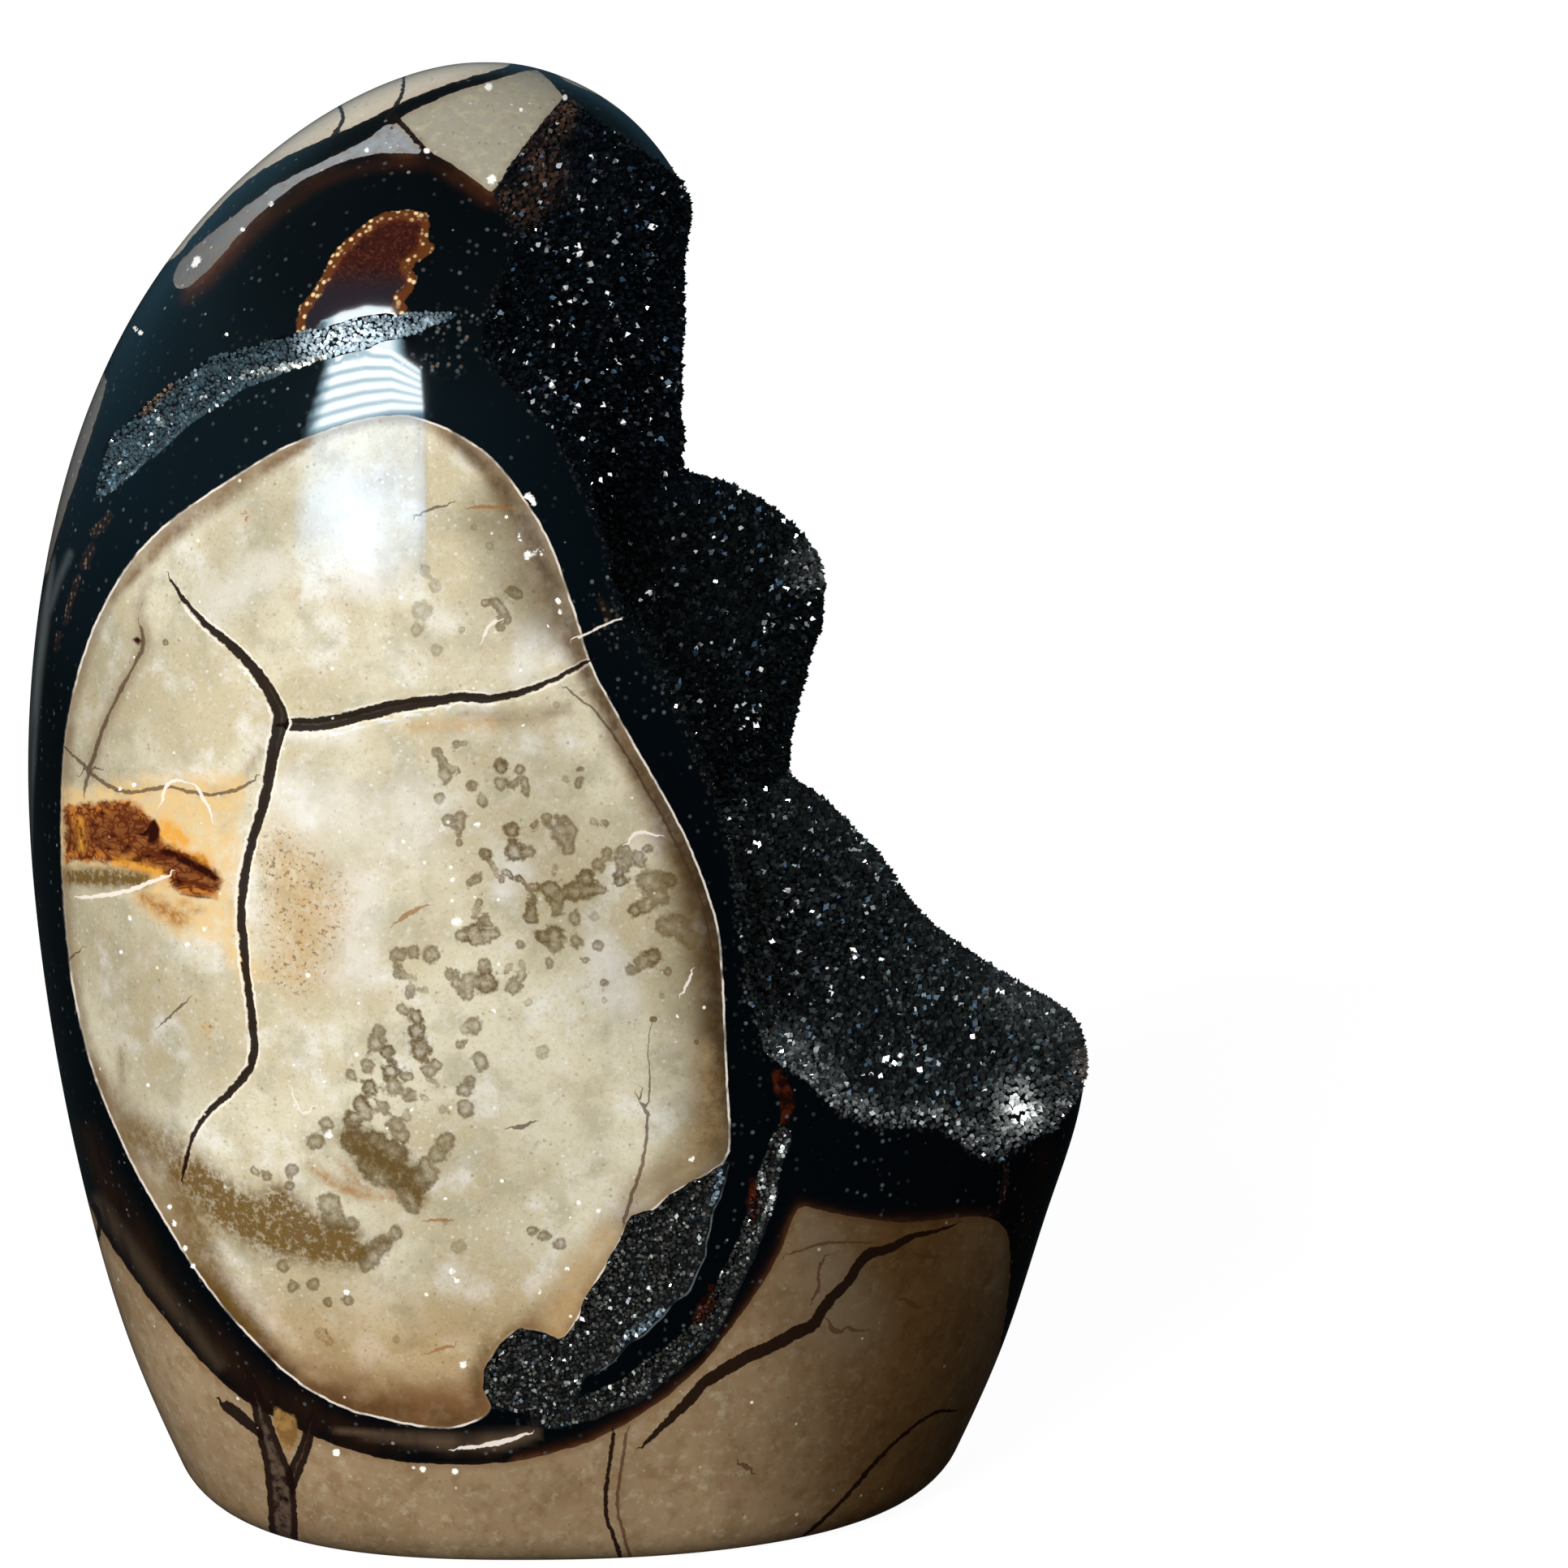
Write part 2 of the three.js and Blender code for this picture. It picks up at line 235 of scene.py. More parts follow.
def sectionRadius(ring, angle):
    # superellipse with its own reach on each of its four sides
    left, middle, right, front, back = (ring[..., k] for k in range(1, 6))
    c, s = np.cos(angle), np.sin(angle)
    across = (right - left) / 2 + ((right + left) / 2 - middle) * c
    deep = (front + back) / 2 - ((front - back) / 2) * s
    across, deep = np.maximum(across, 1e-6), np.maximum(deep, 1e-6)
    power = stone["sectionPower"]
    return (np.abs(c / across) ** power + np.abs(s / deep) ** power) ** (-1 / power)


def footInset(height):
    up = pin(height / stone["footRadius"])
    return stone["footRadius"] * (1 - np.sqrt(1 - (1 - up) ** 2))


baseHeight = ringAt(np.array(0.0))[0]


def hullAt(station, angle):
    # middle x, radius and height of the polished hull
    ring = ringAt(station)
    height = np.maximum(ring[..., 0] - baseHeight, 0)
    radius = np.maximum(sectionRadius(ring, angle) - footInset(height), 0)
    return ring[..., 2], radius, height


def placed(middle, radius, height, angle):
    deep = stone["middleDepth"] + radius * np.sin(angle)
    return np.stack([middle + radius * np.cos(angle), deep, height], -1)


def tableAt(table, height):
    # smooth values between the rows of a table whose first column is the height
    level = table[:, 0]
    slopes = np.empty_like(table)
    slopes[1:-1] = (table[2:] - table[:-2]) / (level[2:] - level[:-2])[:, None]
    slopes[0] = (table[1] - table[0]) / (level[1] - level[0])
    slopes[-1] = (table[-1] - table[-2]) / (level[-1] - level[-2])
    i = pin(np.searchsorted(level, height) - 1, 0, len(level) - 2)
    span = level[i + 1] - level[i]
    f = pin((height - level[i]) / span)[..., None]
    span = span[..., None]
    return ((2 * f ** 3 - 3 * f ** 2 + 1) * table[i] + (f ** 3 - 2 * f ** 2 + f) * span * slopes[i]
            + (3 * f ** 2 - 2 * f ** 3) * table[i + 1] + (f ** 3 - f ** 2) * span * slopes[i + 1])


def cavityRadius(height, angle):
    # right, diagonal and front distances blended by angle, plus round swells
    row = tableAt(cavity["rings"], height)
    right, diagonal, front = row[..., 1], row[..., 2], row[..., 3]
    radius = right * np.cos(angle) ** 2 + front * np.sin(angle) ** 2
    radius = radius + (diagonal - (right + front) / 2) * np.sin(2 * angle) ** 2
    for at, level, spread, tall, swell in cavity["swells"]:
        off = (np.degrees(angle) - at) / spread
        radius = radius + swell * np.exp(-off ** 2 - ((height - level) / tall) ** 2)
    return radius


def rimInside(middle, radius, height, angle):
    # how far inside the cavity's rim a place of the hull is; the back is judged as its mirror image
    shift = np.where(angle > 0, cavity["backRimShift"] * np.sin(angle), 0)
    seen = placed(middle, radius, height, angle)
    seen[..., 0] -= shift
    seen[..., 1] = stone["middleDepth"] - np.abs(seen[..., 1] - stone["middleDepth"])
    return insideBy(cavity["rim"], onSheet(seen))


recesses = {
    "upperBand": {
        "line": np.array([
            [-57.5, 121], [-54, 126.5], [-49, 131], [-42, 135.5], [-35, 138], [-30, 139.3], [-22, 141.3],
            [-14, 142.8]]),
        "width": np.array([4.4, 5.4, 5.6, 5.2, 4.6, 4.0, 3.2, 2.4]),
        "depth": 1.1,
    },
    "lowerBand": {
        "line": np.array([
            [26.6, 43.3], [26.2, 41.5], [25.2, 38.5], [24.2, 34.8], [22.9, 30], [20.6, 24.8],
            [19.2, 21.8], [16.6, 17.5], [12.2, 13.6], [7.2, 10], [3, 8], [-0.4, 7.1], [-5, 6.4]]),
        "width": np.array([2.4, 2.8, 2.8, 2.8, 2.8, 2.8, 2.9, 3.3, 3.6, 3.8, 3.0, 2.8, 2.2]),
        "depth": 1.1,
    },
    "lowerPatch": {
        "outline": np.array([
            [19.8, 38.6], [16, 36.3], [12.2, 34.4], [10.7, 32.5], [7.7, 31.5], [5.6, 27.2], [2.6, 22.5],
            [0.8, 18.3], [-1, 16.4], [-2.5, 17.3], [-6.4, 17.7], [-8.8, 15.6], [-10.5, 12.8],
            [-10.5, 10.4], [-9, 7.9], [-5, 7], [-0.1, 8], [0.5, 8.9], [2.8, 12.2], [6.9, 15.5],
            [10.8, 19], [14.6, 22.5], [16.8, 26.7], [17.4, 31], [18.5, 34.9]]),
        "depth": 1.2,
    },
}
grooves = {
    # tenths of a millimetre right and down from the sheet's corner, and the crack's width there
    "main": np.array([
        [210, 715, 3], [240, 760, 7], [290, 800, 11], [325, 840, 14], [345, 880, 17], [345, 893, 18],
        [335, 930, 14], [325, 990, 12], [305, 1050, 11], [295, 1120, 10], [300, 1180, 10], [308, 1240, 9],
        [315, 1305, 9], [290, 1340, 9], [255, 1370, 7], [235, 1400, 5], [225, 1450, 3]], float),
    "cross": np.array([
        [356, 893, 16], [400, 893, 17], [450, 880, 16], [500, 868, 15], [540, 864, 13], [570, 858, 10],
        [600, 863, 11], [640, 855, 8], [680, 840, 6], [725, 815, 4]], float),
    "mostDepth": 0.7,  # where a crack is widest
    "widest": 1.8,
    "shoulder": 0.25,
    "leastDepth": 0.05,  # less than this is left polished
}


def bandInside(line, width, points):
    # positive between the two sides of a band whose width changes along its line
    nearest, _, along = distances(line, points, False)
    half = valueAlong(width / 2, along)
    taper = 0.35 + 0.65 * pin(np.minimum(along, len(width) - 1 - along) * 1.6)
    return half * taper - nearest


def waving(noise, points):
    height, size, seed = noise
    return height * softNoise(points, size, seed)


def recessInside(points):
    # signed distance to the nearest recess, and that recess's depth; the edges waver a little
    waver = waving(stone["edgeWaver"], np.concatenate([points, 0 * points[..., :1]], -1))
    best = np.full(points.shape[:-1], -1e9)
    depth = np.zeros(points.shape[:-1])
    for shape in recesses.values():
        if "outline" in shape:
            field = insideBy(shape["outline"], points)
        else:
            field = bandInside(shape["line"], shape["width"], points)
        field = field + waver
        depth = np.where(field > best, shape["depth"], depth)
        best = np.maximum(best, field)
    return best, depth


def gridNormals(points):
    # cross product of the differences along the rows and around them, unit length
    around = np.roll(points, -1, 1) - np.roll(points, 1, 1)
    up = np.gradient(points, axis=0)
    normals = np.cross(around, up)
    return normals / np.maximum(np.linalg.norm(normals, axis=-1, keepdims=True), 1e-9)


def stationsUp():
    # stations spaced evenly along the wall's profile, from the flat base to just under the crown
    footTop = stone["footRadius"] / stone["rings"][1, 0]
    foot = footTop * (1 - np.cos(np.linspace(0, math.pi / 2, 400, endpoint=False)))
    fine = np.concatenate([foot, np.linspace(footTop, len(stone["rings"]) - 1, 6000)])
    sides = (hullAt(fine, np.full(fine.shape, turn)) for turn in (-math.pi / 2, 0, math.pi))
    reach = np.mean([radius for _, radius, _ in sides], 0)
    height = hullAt(fine, np.zeros(fine.shape))[2]
    length = np.concatenate([[0], np.cumsum(np.hypot(np.diff(reach), np.diff(height)))])
    rows = int(round(length[-1] / stone["rowStep"]))
    return np.interp(np.linspace(0, length[-1], rows, endpoint=False), length, fine)


def anglesAround():
    # closer together on the front than on the back, starting at the middle of the back
    fine = np.linspace(math.pi / 2, math.pi / 2 + 2 * math.pi, 4001)
    _, radius, _ = hullAt(np.full(fine.shape, 4.0), fine)
    step = np.hypot(np.diff(radius), radius[1:] * np.diff(fine))
    mid = (fine[1:] + fine[:-1]) / 2
    frontness = ease(-np.sin(mid), -0.45, 0.05)
    size = stone["backStep"] + (stone["frontStep"] - stone["backStep"]) * frontness
    count = np.concatenate([[0], np.cumsum(step / size)])
    columns = int(round(count[-1]))
    return np.interp(np.linspace(0, count[-1], columns, endpoint=False), count, fine)


def wrapped(angle):
    return (angle + math.pi) % (2 * math.pi) - math.pi


def edgeFields(station, angle):
    # signed distances whose zero lines are edges of the surface
    middle, radius, height = hullAt(station, wrapped(angle))
    hull = placed(middle, radius, height, angle)
    front = gridNormals(hull) @ toEye > stone["frontFacing"]
    sheet = onSheet(hull)
    rim = rimInside(middle, radius, height, wrapped(angle))
    recess, depth = recessInside(sheet)
    recess = np.where(front, recess, -far)
    sides = []
    for name in ("main", "cross"):
        line = fromCorner(grooves[name][:, :2])
        nearest, side, along = distances(line, sheet, False)
        ended = (along <= 0) | (along >= len(line) - 1)
        sides.append(np.where(front & ~ended, nearest * side, far))
    return hull, sheet, rim, recess, depth, sides


def snapped(station, angle):
    # moves grid points that lie within about half a step of an edge onto it, along the steepest way
    _, _, rim, recess, _, sides = edgeFields(station, angle)
    rowShift = np.zeros(station.shape)
    columnShift = np.zeros(station.shape)
    least = np.full(station.shape, stone["snapReach"])
    for field in (rim, recess, *sides):
        upward = np.gradient(field, axis=0)
        sideways = (np.roll(field, -1, 1) - np.roll(field, 1, 1)) / 2
        steep = np.maximum(upward ** 2 + sideways ** 2, 1e-6)
        moved = np.abs(field) / np.sqrt(steep)
        take = (moved < least) & (steep < 4)
        rowShift = np.where(take, -field * upward / steep, rowShift)
        columnShift = np.where(take, -field * sideways / steep, columnShift)
        least = np.where(take, moved, least)
    rows, columns = station.shape
    rowPlace = pin(np.arange(rows)[:, None] + rowShift, 0, rows - 1)
    columnPlace = np.arange(columns)[None, :] + columnShift
    longAngles = np.concatenate([angle[0] - 2 * math.pi, angle[0], angle[0] + 2 * math.pi])
    newAngle = np.interp(columnPlace + columns, np.arange(3 * columns), longAngles)
    return np.interp(rowPlace, np.arange(rows), station[:, 0]), newAngle


print("stone: working out its surface")
station, angle = np.meshgrid(stationsUp(), anglesAround(), indexing="ij")
station, angle = snapped(station, angle)
hull, sheet, rim, recess, recessDepth, sides = edgeFields(station, angle)
middle, hullRadius, height = hullAt(station, wrapped(angle))
hullNormals = gridNormals(hull)

# the lining sinks from the rim to the cavity's wall; everywhere else the polish is the surface
wall = cavityRadius(height, wrapped(angle))
rim = np.where(np.abs(rim) < stone["edgeSlack"], 0, rim)
recess = np.where(np.abs(recess) < stone["edgeSlack"], 0, recess)
depth = np.maximum(hullRadius - wall, cavity["leastDepth"])
sink = np.where(rim > 0, depth * (1 - np.exp(-pin(rim, 0, 1e9) / cavity["rimSlope"])), 0)
lumps = sum(waving(noise, hull) for noise in cavity["lumps"])
sink = sink + ease(rim, 0.3, 5) * (lumps + cavity["lumpShift"])
recessSink = np.where((recess > 0) & (rim <= 0), recessDepth * ease(recess, -0.2, 0.7), 0)
recessSink = recessSink * (1 + waving(stone["floorWaver"], hull))
grooveSink = np.zeros(station.shape)
for name, side in zip(("main", "cross"), sides):
    line = grooves[name]
    _, _, along = distances(fromCorner(line[:, :2]), sheet, False)
    width = valueAlong(line[:, 2] / 10, along)
    across = pin(np.abs(side) / (width / 2 + grooves["shoulder"]))
    grooveSink = np.maximum(grooveSink, grooves["mostDepth"] * width / grooves["widest"] * (1 - across))
radius = np.maximum(hullRadius - sink - recessSink - np.where(rim > 0, 0, grooveSink), 0)
surface = placed(middle, radius, height, angle)
print("stone:", surface.shape[0], "rows of", surface.shape[1])


cells = {
    # outlines of the limestone cells seen from the front, tenths of a millimetre right and down
    "oval": [
        [530, 520], [555, 530], [580, 545], [603, 561], [622, 582], [638, 604], [652, 625], [668, 650],
        [680, 675], [690, 700], [700, 732], [712, 765], [720, 800], [735, 835], [760, 880], [800, 950],
        [840, 1020], [865, 1080], [885, 1140], [890, 1200], [893, 1260], [895, 1320], [899, 1380],
        [899, 1429], [862, 1452], [822, 1473], [806, 1491], [778, 1501], [757, 1543], [728, 1590],
        [708, 1633], [691, 1652], [676, 1643], [650, 1637], [632, 1640], [612, 1660], [596, 1690],
        [597, 1715], [608, 1738], [585, 1752], [560, 1759], [530, 1760], [480, 1750], [420, 1735],
        [360, 1700], [300, 1640], [250, 1580], [200, 1500], [160, 1430], [125, 1350], [105, 1290],
        [90, 1220], [80, 1140], [75, 1060], [75, 980], [80, 900], [95, 830], [120, 760], [160, 690],
        [210, 640], [270, 600], [340, 555], [400, 530], [450, 515], [500, 510]],
    "block": [
        [648, 60], [560, 40], [400, 90], [250, 220], [170, 340], [213, 322], [240, 287], [292, 231],
        [334, 201], [394, 174], [437, 155], [497, 125], [558, 101], [640, 78]],
    "trapezoid": [
        [489, 149], [505, 137], [562, 112], [640, 90], [650, 87], [664, 86], [671, 93], [688, 111],
        [694, 119], [689, 126], [657, 165], [635, 196], [612, 230], [606, 238], [599, 233], [578, 216],
        [547, 196], [531, 188], [508, 166]],
    "wedge": [
        [487, 146], [503, 168], [526, 190], [490, 188], [450, 190], [410, 204], [370, 223], [336, 249],
        [306, 277], [275, 312], [248, 342], [226, 358], [214, 352], [214, 334], [232, 311], [262, 286],
        [303, 254], [343, 225], [403, 197], [443, 178]],
    "strip": [
        [668, 78], [700, 84], [740, 102], [780, 130], [812, 162], [796, 160], [766, 136], [732, 114],
        [700, 102]],
    "sliver": [
        [90, 430], [134, 458], [124, 500], [107, 550], [91, 600], [76, 640], [65, 680], [57, 712],
        [30, 730], [30, 500]],
    "base": [
        [40, 1440], [100, 1462], [112, 1488], [130, 1524], [163, 1572], [200, 1622], [260, 1692],
        [310, 1733], [400, 1777], [480, 1801], [570, 1806], [650, 1800], [750, 1770], [850, 1702],
        [912, 1622], [960, 1550], [972, 1512], [985, 1484], [1000, 1489], [1060, 1501], [1120, 1508],
        [1200, 1497], [1232, 1504], [1246, 1530], [1243, 1600], [1228, 1680], [1215, 1760], [1180, 1850],
        [1150, 1960], [40, 1960]],
}
cellsBehind = {
    # the same seen from behind, millimetres to the right and up
    "top": [
        [64, 153], [50, 160], [34, 172], [10, 182], [-6, 182], [-9, 170], [-4, 160], [3, 150], [10, 145],
        [24, 145], [40, 149], [52, 149]],
    "middle": [
        [72, 137], [54, 139], [38, 136], [22, 131], [9, 126], [2, 116], [-5, 103], [-13, 90], [-17, 80],
        [-6, 74], [12, 71], [30, 67], [46, 71], [54, 84], [60, 104], [72, 113]],
    "low": [
        [72, 33], [58, 37], [51, 48], [42, 58], [28, 58], [12, 61], [-6, 66], [-18, 62], [-25, 50],
        [-30, 38], [-42, 33], [-56, 30], [-58, 18], [-54, -12], [72, -12]],
}
cracksAhead = {
    # cracks as right, down and width; the sets keep cracks that come near each other apart
    "deep": [
        grooves["main"],
        [[795, 1779, 4], [814, 1760, 8], [834, 1740, 12], [858, 1716, 14], [866, 1704, 14],
         [900, 1684, 16], [918, 1672, 15], [940, 1664, 16], [961, 1653, 16], [985, 1640, 17],
         [1004, 1633, 14], [1012, 1616, 12], [1022, 1602, 14], [1034, 1590, 12], [1047, 1578, 11],
         [1056, 1560, 12], [1072, 1542, 13], [1090, 1541, 12], [1106, 1534, 10], [1120, 1523, 7],
         [1148, 1519, 5], [1175, 1510, 3]],
        [[306, 1690, 8], [314, 1715, 14], [322, 1745, 20], [335, 1790, 26], [345, 1820, 34],
         [348, 1860, 36], [350, 1895, 34], [352, 1930, 30]],
        [[415, 124, 4], [424, 143, 5], [420, 155, 5], [410, 168, 6]]],
    "side": [
        grooves["cross"], [[384, 1750, 14], [377, 1780, 16], [364, 1812, 18], [352, 1840, 18]],
        [[756, 1768, 4], [751, 1800, 5], [746, 1840, 5], [747, 1872, 5], [758, 1898, 5], [768, 1930, 5]],
        [[985, 1897, 3], [1015, 1872, 5], [1045, 1842, 5], [1071, 1810, 5], [1098, 1782, 4],
         [1118, 1763, 4], [1150, 1740, 4], [1174, 1738, 3]],
        [[498, 95, 3], [496, 115, 4], [488, 130, 5], [476, 146, 6]],
        [[486, 144, 8], [505, 164, 6], [524, 184, 5], [538, 198, 4]],
        [[280, 1733, 14], [296, 1745, 14], [312, 1760, 12], [326, 1770, 9]],
        [[116, 1486, 8], [124, 1502, 7], [120, 1530, 5]]],
    "fine": [
        [[1021, 1631, 4], [1027, 1640, 8], [1037, 1642, 3]], [[1048, 1638, 5], [1062, 1640, 3]],
        [[1120, 1605, 8], [1124, 1607, 9]], [[1128, 1545, 3], [1140, 1549, 6], [1150, 1549, 4]],
        [[1012, 1555, 4], [1008, 1570, 3], [1010, 1585, 4], [1003, 1600, 3]],
        [[917, 1806, 6], [920, 1808, 7]],
        [[801, 1262, 1], [798, 1297, 1], [801, 1335, 2], [798, 1373, 3], [796, 1415, 4], [787, 1448, 4],
         [777, 1477, 5], [771, 1500, 5]], [[786, 1352, 2], [792, 1364, 3], [797, 1372, 3]],
        [[633, 1390, 3], [643, 1388, 7], [653, 1385, 3]], [[518, 634, 3], [534, 626, 3], [552, 622, 2]],
        [[972, 1546, 2], [1000, 1535, 3], [1030, 1530, 3], [1070, 1531, 2]],
        [[772, 1768, 4], [767, 1800, 4], [762, 1832, 4], [760, 1860, 4], [768, 1890, 4], [780, 1930, 4]],
        [[71, 915, 2], [91, 931, 3], [115, 955, 4], [134, 970, 5], [158, 977, 5], [178, 974, 4],
         [198, 970, 5], [217, 970, 3], [237, 977, 5], [265, 979, 3], [292, 974, 5], [312, 962, 3]],
        [[200, 1262, 2], [228, 1235, 3]],
        [[700, 850, 2], [740, 880, 3], [790, 960, 3], [840, 1050, 3], [872, 1130, 3], [882, 1220, 2]],
        [[104, 975, 3], [113, 939, 4], [127, 896, 5], [138, 872, 3], [150, 848, 5], [166, 818, 3],
         [178, 797, 5], [173, 770, 2]], [[60, 1196, 2], [80, 1186, 3], [98, 1172, 2]]],
    "rustLines": [
        [[168, 789, 8], [171, 791, 8]], [[804, 1255, 5], [806, 1257, 5]],
        [[858, 1283, 3], [859, 1285, 3]], [[84, 1000, 3], [86, 1030, 3], [84, 1052, 3]],
        [[96, 1012, 3], [102, 1034, 3], [108, 1050, 2]],
        [[112, 1004, 4], [140, 1000, 3], [166, 1004, 4], [180, 1012, 3]],
        [[110, 1018, 3], [128, 1014, 6], [150, 1019, 4], [172, 1026, 5], [184, 1032, 4]],
        [[114, 1034, 3], [136, 1030, 5], [152, 1036, 4], [166, 1048, 4], [184, 1056, 3], [200, 1060, 4]],
        [[112, 1048, 4], [132, 1046, 3], [148, 1044, 4], [160, 1056, 3], [176, 1066, 3]],
        [[187, 1015, 12], [190, 1027, 16], [186, 1037, 8]],
        [[192, 1042, 6], [212, 1052, 8], [234, 1064, 9], [258, 1076, 9], [268, 1084, 5]],
        [[204, 1074, 4], [216, 1084, 5], [232, 1090, 3], [250, 1092, 5], [262, 1094, 4]],
        [[210, 1094, 3], [226, 1100, 5], [246, 1104, 4], [262, 1104, 5]]],
    "gold": [
        [[489, 1137, 3], [499, 1128, 7], [520, 1117, 3]], [[583, 624, 3], [604, 625, 5], [625, 626, 2]],
        [[530, 1502, 3], [548, 1504, 4]], [[534, 1665, 3], [544, 1661, 6], [556, 1658, 3]],
        [[534, 1664, 3], [544, 1662, 3]]],
    "pale": [
        [[714, 786, 3], [728, 778, 2], [742, 772, 3], [758, 764, 2], [770, 761, 2]],
        [[103, 1106, 4], [148, 1101, 5], [178, 1090, 5], [205, 1079, 4]],
        [[775, 1034, 3], [782, 1027, 4], [792, 1024, 4], [807, 1029, 3]],
        [[843, 1220, 3], [850, 1204, 4]], [[596, 784, 4], [601, 773, 4], [610, 766, 4]],
        [[199, 986, 3], [203, 970, 4], [212, 962, 4], [221, 961, 3]],
        [[242, 969, 3], [253, 986, 4], [261, 1004, 3]],
        [[359, 1346, 2], [366, 1362, 2], [373, 1376, 2], [383, 1368, 2]],
        [[565, 1785, 3], [580, 1783, 5], [590, 1783, 3]],
        [[594, 1781, 4], [612, 1778, 7], [630, 1774, 6], [646, 1768, 4]]],
}
cracksBehind = {
    # right, up and width, millimetres
    "deep": [
        [[26, 130, .5], [24, 121, .9], [20, 112, 1.3], [21, 104, 1.5], [25, 95, 1.2], [24, 86, .9],
         [28, 76, .4]],
        [[12, 59, 1.2], [15, 48, 1.5], [12, 36, 1.3], [17, 24, 1.2], [14, 10, 1.4], [15, -4, 1.2]],
        [[28, 150, .6], [24, 158, .8], [26, 166, .5]]],
    "side": [
        [[21, 104, 1.5], [12, 101, 1.2], [3, 103, .8], [-3, 100, .3]],
        [[25, 95, 1.0], [36, 93, 1.1], [46, 96, .7], [54, 93, .3]],
        [[12, 36, 1.2], [0, 33, .9], [-12, 36, .7], [-22, 34, .3]],
        [[17, 24, 1.1], [30, 21, .8], [44, 23, .4]]],
    "fine": [[[34, 114, .3], [44, 118, .4], [52, 126, .3]], [[-8, 52, .3], [-2, 46, .4], [2, 40, .3]]],
    "rustLines": [[[60, 120, .01], [61, 120, .01]]],
    "gold": [[[60, 118, .01], [61, 118, .01]]],
    "pale": [[[60, 116, .01], [61, 116, .01]]],
}
stains = {
    "rust": [
        [80, 992], [162, 986], [186, 1010], [204, 1040], [250, 1054], [271, 1079], [266, 1105],
        [226, 1103], [202, 1079], [178, 1069], [156, 1066], [114, 1060], [80, 1060]],
    "rustHalo": [
        [74, 975], [120, 968], [170, 962], [230, 958], [300, 955], [292, 1020], [290, 1160], [330, 1205],
        [300, 1210], [270, 1160], [215, 1150], [180, 1125], [160, 1100], [200, 1085], [170, 1075],
        [120, 1070], [95, 1068], [75, 1065]],
    "amber": [
        [465, 268], [480, 262], [500, 262], [526, 265], [529, 278], [524, 300], [536, 304], [515, 320],
        [500, 330], [512, 341], [505, 358], [492, 368], [502, 384], [455, 396], [400, 414], [368, 414],
        [368, 388], [394, 350], [404, 330], [414, 311], [430, 296], [443, 284]],
    "fork": [[336, 1730], [352, 1740], [366, 1745], [368, 1770], [358, 1790], [348, 1785], [338, 1760]],
}
